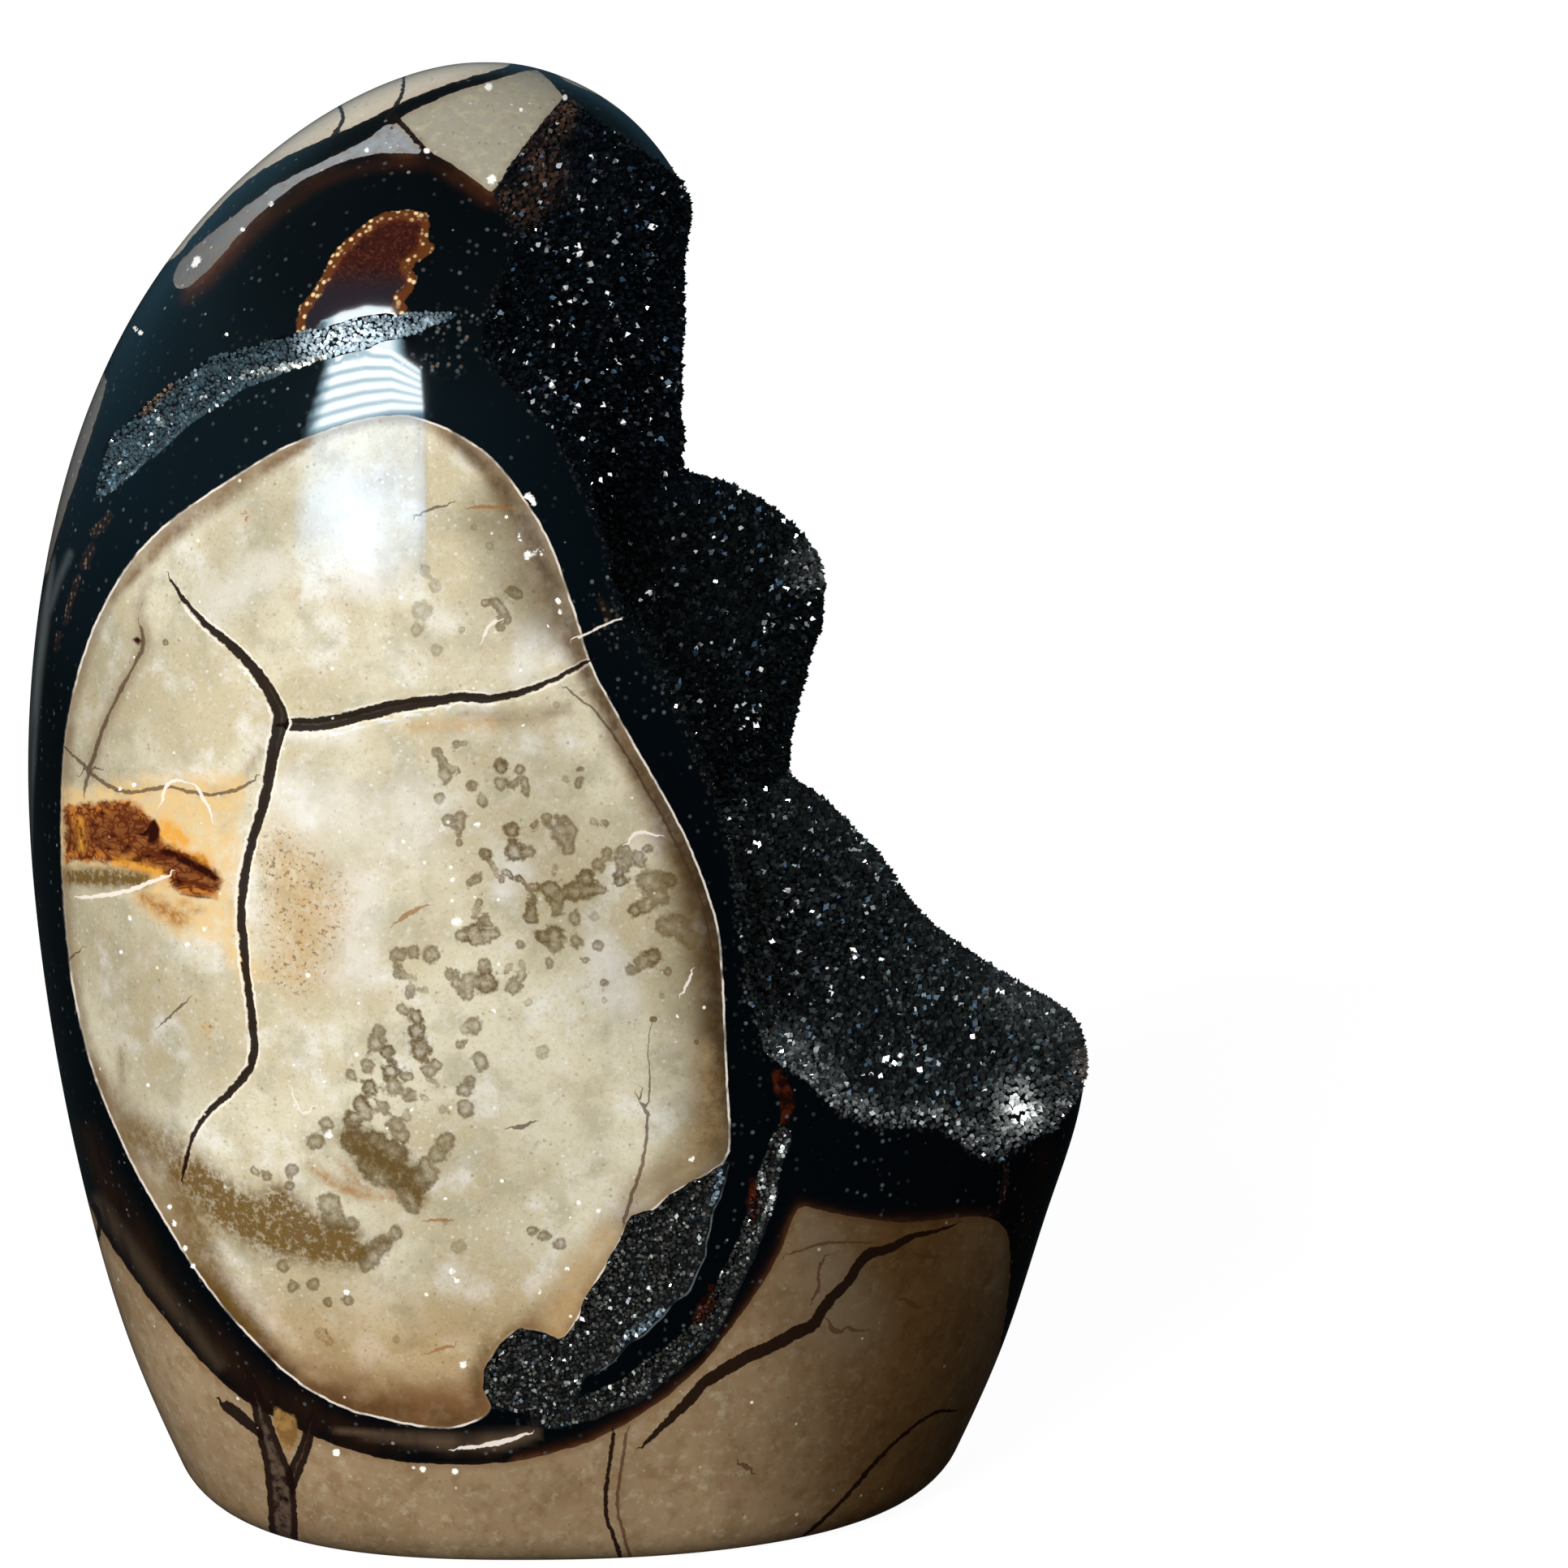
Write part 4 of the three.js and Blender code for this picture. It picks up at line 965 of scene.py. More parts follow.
class Desk:
    # the nodes of one material or of the world, with short calls that add and join them
    def __init__(self, owner):
        self.owner = owner
        owner.use_nodes = True
        self.tree = owner.node_tree
        self.tree.nodes.clear()
        self.where = self.add("ShaderNodeTexCoord").outputs
        self.place = self.where["Object"]
        self.noises = {}

    def add(self, kind, values=None, **settings):
        made = self.tree.nodes.new(kind)
        for key, value in settings.items():
            setattr(made, key, value)
        for key, value in (values or {}).items():
            if isinstance(value, bpy.types.NodeSocket):
                self.tree.links.new(value, made.inputs[key])
            else:
                made.inputs[key].default_value = value
        return made

    def calc(self, operation, *values):
        return self.add("ShaderNodeMath", dict(enumerate(values)), operation=operation).outputs[0]

    def plus(self, a, b):
        return self.calc("ADD", a, b)

    def times(self, product, *others):
        for other in others:
            product = self.calc("MULTIPLY", product, other)
        return product

    def least(self, a, b):
        return self.calc("MINIMUM", a, b)

    def most(self, a, b):
        return self.calc("MAXIMUM", a, b)

    def inverse(self, a):
        return self.calc("SUBTRACT", 1.0, a)

    def rise(self, value, low, high, floor=0.0, ceiling=1.0):
        # eased from floor to ceiling as value goes from low to high
        ends = {"Value": value, "From Min": low, "From Max": high, "To Min": floor, "To Max": ceiling}
        return self.add("ShaderNodeMapRange", ends, interpolation_type="SMOOTHSTEP").outputs[0]

    def over(self, share, below, above, kind="MIX"):
        # one colour over another; either may be the name of a tone of the polish
        below, above = (polish[tone] if isinstance(tone, str) else tone for tone in (below, above))
        values = {0: share, 6: below, 7: above}
        return self.add("ShaderNodeMix", values, data_type="RGBA", blend_type=kind).outputs[2]

    def blend(self, share, below, above):
        # the same for plain numbers
        return self.add("ShaderNodeMix", {0: share, 2: below, 3: above}).outputs[0]

    def placed(self, **values):
        # the stone's own coordinates moved, turned or stretched
        return self.add("ShaderNodeMapping", values).outputs[0]

    def moved(self, place, offset):
        return self.placed(Vector=place or self.place, Location=(offset, offset * 0.7, offset * 1.3))

    def noise(self, size, detail=3.0, roughness=0.55, offset=0.0, place=None):
        # lumps of about size millimetres, around 0.5; the same call again gives the same noise
        key = (size, detail, roughness, offset, place)
        if key not in self.noises:
            values = {"Vector": self.moved(place, offset), "Scale": 1 / (size * mm), "Detail": detail,
                      "Roughness": roughness}
            self.noises[key] = self.add("ShaderNodeTexNoise", values).outputs[0]
        return self.noises[key]

    def dots(self, size, offset):
        # one point in each small cube of space: the distance to the nearest one, and three random
        # numbers that belong to it
        values = {"Vector": self.moved(None, offset), "Scale": 1 / (size * mm)}
        made = self.add("ShaderNodeTexVoronoi", values).outputs
        return made["Distance"], self.add("ShaderNodeSeparateColor", {0: made["Color"]}).outputs

    def read(self, name):
        return self.add("ShaderNodeAttribute", attribute_name=name).outputs["Fac"]

    def readParts(self, name):
        vector = self.add("ShaderNodeAttribute", attribute_name=name).outputs["Vector"]
        return self.add("ShaderNodeSeparateXYZ", {0: vector}).outputs

    def wavering(self, field, noise, amount):
        return self.plus(field, self.times(self.plus(noise, -0.5), amount))

    def shifted(self, field, amount, size, offset=0.0, detail=3.0):
        # a distance whose zero line wavers by amount
        return self.wavering(field, self.noise(size, detail, offset=offset), amount * 2)

    def roundGap(self, name, noise, amount):
        # distance from the middle of the nearest round mark, counted in its radius, made ragged
        x, y, near = self.readParts(name)
        gap = self.most(self.calc("SQRT", self.plus(self.times(x, x), self.times(y, y))), near)
        return self.wavering(gap, noise, amount)

    def layered(self, colour, layers):
        for tone, size, detail, roughness, offset, low, high, most in layers:
            share = self.rise(self.noise(size, detail, roughness, offset), low, high, 0, most)
            colour = self.over(share, colour, tone)
        return colour

    def lay(self, share, tone, kind="MIX"):
        self.colour = self.over(share, self.colour, tone, kind)

    def finish(self, values):
        shader = self.add("ShaderNodeBsdfPrincipled", values)
        self.add("ShaderNodeOutputMaterial", {"Surface": shader.outputs[0]})
        return self.owner


def materialDesk(name):
    return Desk(bpy.data.materials.new(name))


polish = {
    # the oval
    "cream": (222, 215, 190), "buff": (200, 188, 156), "cloud": (236, 234, 226), "grey": (184, 177, 150),
    "freckle": (150, 136, 108), "brown": (122, 94, 60), "edge": (124, 98, 68), "foot": (146, 108, 74),
    "warmth": (232, 212, 188), "dark": (72, 54, 34), "milkAndHighlight": (242, 241, 238), "shade": (132, 124, 102),
    "spot": (96, 77, 42), "olive": (104, 77, 28), "tan": (194, 158, 106), "blot": (160, 104, 36),
    "yellow": (226, 158, 58), "rust": (190, 112, 36), "rustDeep": (112, 56, 20),
    "rustPale": (226, 190, 128), "rustBrown": (86, 36, 14), "rustDark": (44, 14, 8),
    # the other cells
    "block": (214, 205, 190), "trapezoid": (160, 156, 140), "wedge": (150, 160, 168),
    "wedgeLeft": (104, 106, 108), "strip": (128, 116, 100), "base": (163, 139, 109),
    "baseDark": (138, 114, 85), "baseShade": (139, 120, 94), "baseMilk": (112, 103, 86),
    # the black calcite
    "black": (3, 6, 9), "umber": (32, 19, 11), "rim": (60, 31, 14), "rimPale": (112, 76, 50),
    "paintedHaze": (86, 70, 54), "paintedSheen": (100, 106, 108), "slot": (22, 8, 4), "slotPale": (62, 24, 11),
    "fleck": (92, 98, 100), "bead": (84, 74, 66), "grainBrown": (116, 92, 74), "grainBlue": (120, 138, 146),
    "chainDark": (26, 17, 13), "chainPale": (112, 92, 78),
    # the amber window and its grains
    "golden": (238, 206, 152), "goldenDark": (92, 50, 22), "amber": (104, 48, 18),
    "amberDeep": (54, 20, 15), "amberDark": (28, 10, 12), "amberPale": (150, 92, 52),
    "amberTop": (36, 30, 36), "fork": (120, 88, 50), "forkPale": (150, 116, 66),
    # cracks, their pale lips, and white grains
    "lip": (240, 230, 218), "crack": (24, 12, 10), "dryCrack": (26, 12, 8), "veinCore": (84, 68, 56),
    "fine": (70, 44, 27), "gold": (150, 96, 40), "white": (252, 250, 244),
}
polish = {name: ink(*tone) for name, tone in polish.items()}
# tones laid over a colour where a noise is high: the noise's size, detail, roughness and offset, its
# values where the tone sets in and where it is at its most, and that most
clouds = {
    "oval": [
        ("cream", 16, 3, 0.55, 0.0, 0.38, 0.6, 1.0), ("cloud", 7, 5, 0.55, 0.2, 0.5, 0.7, 0.8),
        ("grey", 5, 5, 0.55, 0.6, 0.48, 0.68, 0.75), ("buff", 1.3, 4, 0.65, 0.45, 0.46, 0.7, 0.4),
        ("cloud", 0.9, 4, 0.7, 1.9, 0.52, 0.72, 0.4), ("freckle", 0.42, 3, 0.7, 0.0, 0.5, 0.75, 0.42)],
    "base": [("brown", 2.2, 5, 0.65, 0.9, 0.46, 0.68, 0.5), ("grey", 1.5, 4, 0.7, 0.4, 0.5, 0.72, 0.45)],
    "trapezoid": [
        ("brown", 4, 3, 0.6, 1.4, 0.52, 0.72, 0.3), ("grey", 1.3, 4, 0.65, 0.45, 0.5, 0.68, 0.6),
        ("freckle", 1.1, 4, 0.7, 0.2, 0.52, 0.7, 0.5)],
}


class StoneDesk(Desk):
    # a desk with the drawn fields and the noises that several layers of the polished stone share
    def __init__(self, name, within):
        super().__init__(bpy.data.materials.new(name))
        self.oval = self.read("oval")
        self.waver = self.shifted(self.oval, 0.16, 1.3)
        self.cell = self.shifted(self.read("cells"), 0.25, 1.7, 0.31)
        self.whole = within is None
        self.inOval = self.rise(self.waver, -0.05, 0.05) if self.whole else float(within == "oval")
        self.inCell = self.rise(self.cell, -0.06, 0.06) if self.whole else float(within == "cells")
        self.region = self.readParts("region")
        self.sheetAt = self.readParts("sheetAt")
        self.paintedShade = self.read("paintedShade")
        self.fine = self.noise(0.42, 3, 0.7)
        self.mottle = self.noise(1.3, 4, 0.65, 0.45)
        self.tall = self.placed(Vector=self.place, Scale=(1, 1, 0.3))
        gap, self.grit = self.dots(0.75, 0.33)
        self.speck = self.rise(gap, 0.36, 0.14)


def limestone(desk):
    # buff, cream and milky in large clouds, with a fine grain and specks; the milky strokes are partly pale
    # stone and partly painted highlight
    desk.colour = desk.layered("buff", clouds["oval"])
    desk.lay(desk.times(desk.speck, desk.rise(desk.grit[0], 0.8, 1, 0, 0.6)), "freckle")
    desk.lay(desk.times(desk.speck, desk.rise(desk.grit[1], 0.75, 1, 0, 0.7)), "cloud")
    desk.lay(desk.times(desk.read("milkAndHighlight"), desk.rise(desk.mottle, 0.3, 0.6, 0.5, 1)), "milkAndHighlight")

    # brown and dark stains, mostly along the edge, a warmer tone towards the foot, and broad painted shade
    # where the light falls off
    stain = desk.times(desk.read("brown"), desk.rise(desk.noise(3.5, 5, 0.6, 0.5), 0.3, 0.6, 0.55, 1))
    desk.lay(stain, "brown")
    desk.lay(desk.times(stain, desk.rise(desk.sheetAt[1], 24, 12, 0, 0.6)), "foot")
    narrow = desk.rise(desk.shifted(desk.oval, 0.5, 2.4, 0.5), 1.7, 0.2)
    desk.lay(desk.times(narrow, 0.6), "edge")
    stain = desk.times(desk.read("dark"), desk.rise(desk.noise(2.4, 5, 0.65, 0.3), 0.34, 0.6, 0.5, 1))
    desk.lay(stain, "dark")
    desk.lay(desk.rise(desk.sheetAt[1], 29, 14), "warmth", "MULTIPLY")
    # painted shade, laid over the oval as a darker tone
    desk.lay(desk.times(desk.paintedShade, 0.9), "shade", "MULTIPLY")

    if desk.whole:
        halo = desk.rise(desk.shifted(desk.read("rustHalo"), 1.6, 2.5, 1.1, 5.0), -1.5, 1.2)
        halo = desk.times(halo, desk.rise(desk.noise(1.4, 5, 0.7, 0.8), 0.34, 0.62, 0.35, 0.85))
        desk.lay(halo, "rustPale")
    blotchy = desk.rise(desk.noise(0.9, 5, 0.75, 0.5), 0.36, 0.6, 0.35, 1)
    tan = desk.read("tan")
    desk.lay(desk.times(tan, blotchy, 0.95), "tan")
    pepper = desk.rise(desk.noise(0.5, 3, 0.6, 1.3), 0.56, 0.64)
    pepper = desk.times(pepper, desk.rise(tan, 0.05, 0.5, 0, 0.75), desk.rise(desk.sheetAt[0], -24, -28))
    desk.lay(pepper, "brown")
    desk.lay(desk.times(desk.read("blot"), blotchy), "blot")
    if desk.whole:
        rusted(desk, blotchy)

    # olive smears, then grey-brown spots, many with a paler middle
    olive = desk.times(desk.read("olive"), desk.rise(desk.noise(0.9, 4, 0.75, 0.4), 0.34, 0.6, 0.45, 1.1))
    desk.lay(desk.least(desk.times(olive, 1.3), 0.95), "olive")
    gap = desk.roundGap("spotAt", desk.noise(0.8, 3, 0.6, 0.2), 1.2)
    inSpot = desk.times(desk.rise(gap, 1.25, 0.85), desk.rise(desk.fine, 0.3, 0.6, 0.75, 1))
    tone = desk.least(desk.times(desk.read("spotTone"), 1.1), 0.95)
    desk.lay(desk.times(inSpot, desk.rise(gap, 0.1, 0.8, 0.42, 1), tone), "spot")
    return desk.colour


def rusted(desk, blotchy):
    # a patch of rust with dark ridges, yellow smears round it and dark threads
    rust = desk.shifted(desk.read("rust"), 0.9, 1.6, 1.3, 5.0)
    core = desk.rise(rust, -0.5, 0.4)
    lying = desk.placed(Vector=desk.place, Rotation=(0, 0.1, 0), Scale=(0.3, 1, 1.2))
    share = desk.rise(desk.noise(2.4, 4, 0.6, 0.1, lying), 0.4, 0.66)
    share = desk.times(share, desk.rise(rust, 2.6, 0.3, 0.15, 1))
    desk.lay(desk.times(core, 0.95), desk.over(share, "rustDeep", "rust"))
    for offset, wide in ((0.1, 0.035), (0.7, 0.03), (1.6, 0.025)):
        ridge = desk.calc("ABSOLUTE", desk.plus(desk.noise(2.3, 2, 0.5, offset, lying), -0.5))
        ridge = desk.times(desk.rise(ridge, wide, wide * 0.3, 0, 0.85), core)
        desk.lay(ridge, "rustBrown")
    desk.lay(desk.least(desk.times(desk.read("yellow"), 1.6, blotchy), 0.9), "yellow")
    _, near, half = desk.readParts("rustLines")
    gap = desk.calc("SUBTRACT", desk.shifted(near, 0.14, 0.6, 0.6, 4.0), half)
    desk.lay(desk.rise(gap, 0.22, -0.02, 0, 0.75), "rustBrown")
    desk.lay(desk.rise(gap, 0.06, -0.14), "rustDark")


def otherCells(desk):
    # the block at the back, the base with its upright streaks, the wedge and strips, the trapezoid
    base, wedge, trapezoid = desk.region
    tone = desk.rise(desk.noise(9, 4, offset=0.15), 0.35, 0.65)
    desk.colour = desk.over(desk.times(tone, 0.4), "block", "buff")
    streaks = desk.rise(desk.noise(5.5, 4, 0.6, 0.4, desk.tall), 0.3, 0.7, 0.2, 1)
    streaks = desk.plus(desk.times(streaks, 0.6), desk.times(tone, 0.4))
    streaked = desk.layered(desk.over(streaks, "baseDark", "base"), clouds["base"])
    desk.lay(base, streaked)
    # the wedge and sliver: grey stone, its blue-grey tone partly a painted reflection of the sky
    bluish = desk.over(desk.rise(desk.sheetAt[0], -47, -28), "wedgeLeft", "wedge")
    desk.lay(wedge, desk.over(desk.rise(desk.mottle, 0.4, 0.7, 0, 0.6), bluish, "strip"))
    desk.lay(trapezoid, desk.layered("trapezoid", clouds["trapezoid"]))

    # the same grain and specks in all of them, a brown edge, and painted shade over the base, darkest at the
    # right
    desk.lay(desk.rise(desk.fine, 0.5, 0.74, 0, 0.4), "freckle")
    desk.lay(desk.times(desk.speck, desk.rise(desk.grit[0], 0.8, 1, 0, 0.6)), "brown")
    pale = desk.times(desk.speck, desk.blend(base, 1.0, 0.3))
    desk.lay(desk.times(pale, desk.rise(desk.grit[1], 0.8, 1, 0, 0.5)), "cloud")
    edge = desk.times(desk.rise(desk.cell, 0.05, 1.1, 0.45, 0), desk.plus(desk.times(base, 0.6), 0.4))
    desk.lay(edge, "brown")
    # painted shade over the base
    desk.lay(desk.times(desk.paintedShade, base), "baseShade", "MULTIPLY")
    desk.lay(desk.times(desk.read("milkAndHighlight"), 0.7), "baseMilk")
    return desk.colour


def blackCalcite(desk):
    # black, brown where it meets some of the cells, with painted reflections: brownish hazes and a bluish
    # sheen
    outward = desk.shifted(desk.read("cells"), 0.5, 1.9, 0.31)
    rimGlow = desk.read("rimGlow")
    veil = desk.rise(desk.noise(4, 3, 0.5, 0.1, desk.tall), 0.3, 0.75)
    desk.colour = desk.over(desk.read("ringBrown"), "black", desk.over(veil, "umber", "black"))
    desk.lay(desk.rise(outward, -0.55, -0.05, 0, 0.12), "rim")
    desk.lay(desk.times(rimGlow, desk.calc("POWER", desk.rise(outward, -3.2, -0.1), 1.5)), "rim")
    desk.lay(desk.times(rimGlow, desk.rise(outward, -0.8, -0.05, 0, 0.35)), "rimPale")
    for name, size, offset, least in (("paintedHaze", 3, 0.9, 0.4), ("paintedSheen", 6, 0.2, 0.35)):
        streaks = desk.rise(desk.noise(size, 3, 0.5, offset, desk.tall), 0.3, 0.6, least, 0.9)
        desk.lay(desk.times(desk.read(name), streaks), name)
    slots = desk.rise(desk.shifted(desk.read("slots"), 0.2, 0.9, 0.3), 0.15, 0.5)
    desk.lay(slots, desk.over(desk.rise(desk.mottle, 0.4, 0.6), "slot", "slotPale"))
    gap, chance = desk.dots(1.0, 0.4)
    flecked = desk.times(desk.rise(gap, 0.34, 0.12), desk.rise(chance[0], 0.62, 1.0, 0, 0.8))
    flecked = desk.times(flecked, desk.rise(desk.noise(7, 2, offset=0.9), 0.42, 0.6, 0.15, 1))
    desk.lay(flecked, "fleck")

    # small grains along the cavity's rim and where crystals come near the surface, and a painted highlight
    # along the lower patch's edge
    gap, kind = desk.dots(0.65, 1.4)
    bead = desk.rise(gap, 0.5, 0.15)
    beads = desk.times(bead, desk.rise(desk.shifted(desk.read("rim"), 0.5, 1.5), -0.9, -0.1), 0.3)
    desk.lay(beads, "bead")
    grainy = desk.least(desk.times(desk.read("grainy"), 1.8), 1.0)
    grains = desk.over(kind[1], "grainBrown", "grainBlue")
    desk.lay(desk.times(bead, desk.rise(kind[0], 0.3, 1), grainy), grains)
    chain = desk.rise(desk.shifted(desk.read("chain"), 0.3, 0.8, 0.4), 0.2, 0.5)
    links = desk.times(bead, desk.rise(kind[0], 0.2, 0.9, 0.1, 1))
    desk.lay(chain, desk.over(links, "chainDark", "chainPale"))
    # painted highlight in the sheen's colour along the recess edge
    paintedBevelSheen = desk.calc("ABSOLUTE", desk.plus(desk.shifted(desk.read("bed"), 0.1, 0.9, 0.2), 0.14))
    paintedBevelSheen = desk.times(desk.rise(paintedBevelSheen, 0.16, 0.05), desk.rise(desk.read("paintedBevelSheen"), 0.0, 0.5))
    paintedBevelSheen = desk.times(paintedBevelSheen, desk.rise(desk.noise(3, 3, offset=0.6), 0.4, 0.6, 0.1, 0.8))
    desk.lay(paintedBevelSheen, "paintedSheen")
    return desk.colour


def ambered(desk):
    # an amber window with golden grains round it, and a paler amber patch where two cracks fork
    amber = desk.shifted(desk.shifted(desk.read("amber"), 0.5, 1.6, 0.2, 4.0), 0.2, 0.5, 0.6)
    gap, kind = desk.dots(0.74, 0.8)
    share = desk.times(desk.rise(gap, 0.5, 0.2), desk.rise(kind[0], 0.0, 0.6, 0.2, 1))
    golden = desk.over(share, "goldenDark", "golden")
    inner = desk.over(desk.rise(amber, 0.4, 1.5), "amber", "amberDeep")
    inner = desk.over(desk.rise(desk.mottle, 0.46, 0.66, 0, 0.7), inner, "amberDark")
    inner = desk.over(desk.rise(desk.fine, 0.5, 0.7, 0, 0.22), inner, "amberPale")
    inner = desk.over(desk.rise(desk.sheetAt[1], 149.5, 145), inner, "amberTop")
    desk.lay(desk.rise(amber, 0.0, 0.15), inner)
    onEdge = desk.times(desk.rise(amber, -0.35, -0.1), desk.rise(amber, 1.0, 0.5))
    desk.lay(onEdge, golden)
    fork = desk.over(desk.rise(desk.mottle, 0.42, 0.6), "fork", "forkPale")
    desk.lay(desk.rise(desk.shifted(desk.read("fork"), 0.3, 0.8), -0.1, 0.3), fork)


def cracked(desk):
    # dark cracks, the wide ones with a greyer middle and thin pale lips in the oval; those in the
    # base's right part have no grey in them
    dry = desk.times(desk.region[0], desk.rise(desk.sheetAt[0], -25, -8))
    dark = desk.over(dry, "crack", "dryCrack")
    for name, tone, strength in (("fine", "fine", 0.75), ("side", None, 0.97), ("deep", None, 0.97),
                                 ("gold", "gold", 0.7), ("pale", "lip", 0.9)):
        side, near, half = desk.readParts(name)
        gap = desk.calc("SUBTRACT", desk.calc("ABSOLUTE", desk.shifted(side, 0.3, 1.1, 0.6)), half)
        gap = desk.shifted(gap, 0.1, 0.4, 0.7)
        close = desk.rise(near, desk.plus(half, 1.3), desk.plus(half, 0.8))
        share = desk.times(desk.rise(gap, 0.07, -0.05), close, strength)
        if tone:
            tint = tone
        else:
            lips = desk.times(desk.rise(gap, 0.05, 0.12), desk.rise(gap, 0.38, 0.26))
            lips = desk.times(lips, desk.rise(desk.noise(3, 3, offset=2.1), 0.36, 0.56, 0, 0.95))
            lips = desk.times(lips, close, desk.inOval, desk.rise(half, 0.1, 0.4))
            desk.lay(lips, "lip")
            middle = desk.times(desk.rise(gap, -0.6, -1.0), desk.rise(desk.mottle, 0.35, 0.6))
            tint = desk.over(desk.times(middle, desk.inverse(dry)), dark, "veinCore")
        if name == "fine":
            share = desk.times(share, desk.most(desk.inCell, desk.inOval))
        desk.lay(share, tint)


def whitened(desk):
    # white grains, some of them painted glints, and dust in the polish
    gap = desk.roundGap("whiteAndGlintAt", desk.noise(0.45, 3, 0.7, 0.9), 1.3)
    desk.lay(desk.rise(gap, 0.9, 0.55), "white")
    gap, chance = desk.dots(2.6, 0.77)
    speck = desk.rise(desk.calc("SUBTRACT", gap, desk.times(chance[1], 0.05)), 0.055, 0.03)
    # fewer dust specks under the painted shade of the base
    speck = desk.times(speck, desk.rise(desk.times(desk.paintedShade, desk.region[0]), 0.2, 0.8, 1, 0.3))
    pale = desk.most(desk.most(desk.inOval, desk.times(desk.inCell, desk.inverse(desk.inOval))), 0.25)
    desk.lay(desk.times(speck, pale, desk.rise(chance[0], 0.4, 1.0, 0, 0.9)), "white")


def polishedStone(name, shine=0.5, within=None):
    # all of the drawing, or for faces wholly within one kind of stone only that kind
    desk = StoneDesk(name, within)
    if within:
        {"oval": limestone, "cells": otherCells, "black": blackCalcite}[within](desk)
    else:
        outside = desk.over(desk.inCell, blackCalcite(desk), otherCells(desk))
        desk.colour = desk.over(desk.inOval, outside, limestone(desk))
        line = desk.rise(desk.calc("ABSOLUTE", desk.plus(desk.waver, -0.02)), 0.18, 0.08)
        line = desk.times(line, desk.rise(desk.noise(4, 3, offset=1.7), 0.36, 0.56, 0.15, 0.85))
        desk.lay(desk.times(line, desk.inverse(desk.read("unlipped"))), "lip")
        ambered(desk)
        cracked(desk)
    whitened(desk)
    values = {"Base Color": desk.colour, "Roughness": 0.05, "IOR": 1.55, "Specular IOR Level": shine}
    return desk.finish(values)


def crystalBed():
    values = {"Base Color": ink(12, 15, 17), "Roughness": 0.8, "Specular IOR Level": 0.1}
    return materialDesk("crystalBed").finish(values)


def druseCrystal():
    desk = materialDesk("druseCrystal")
    grain = desk.add("ShaderNodeAttribute", attribute_name="grain").outputs["Color"]
    return desk.finish({"Base Color": grain, "Roughness": 0.12, "Specular IOR Level": 0.3})


def faceRange(field):
    # least and most of a field over each face's corners
    corners = flat(field)[triangles]
    return corners.min(1), corners.max(1)


print("stone: making its mesh")
materials = [polishedStone("polishedStone"), crystalBed(), polishedStone("dullStone", 0.0)]
materials += [polishedStone("polished" + kind.title(), within=kind) for kind in ("oval", "cells", "black")]
body = meshFrom("septarian_stone", points, triangles, materials, True)
for name, field in drawn.items():
    writeField(body.data, name, flat(field))

# faces near a crack, an edge or a stain need all of the drawing, and the rest only their own kind
nearness = {
    "cracks": 1.35, "rustHalo": 3.3, "rust": 2.0, "amber": 1.6, "fork": 0.8, "oval": 0.5, "cells": 0.4,
}
busy = np.zeros(len(triangles), bool)
for name in cracksAhead:
    busy |= faceRange(drawn[name][..., 1] - drawn[name][..., 2])[0] < nearness["cracks"]
for name in stains:
    busy |= faceRange(drawn[name])[1] > -nearness[name]
ovalLeast, ovalMost = faceRange(drawn["oval"])
cellLeast, cellMost = faceRange(drawn["cells"])
kinds = np.select(
    [lined | bedded, grooved, busy, ovalLeast > nearness["oval"], ovalMost > -nearness["oval"],
     cellLeast > nearness["cells"], cellMost < -nearness["cells"]], [1, 2, 0, 3, 0, 4, 5], 0)
print("stone: faces of each material", np.bincount(kinds))
body.data.polygons.foreach_set("material_index", kinds.astype(np.int32))
body.data.set_sharp_from_angle(angle=stone["sharpAngle"])


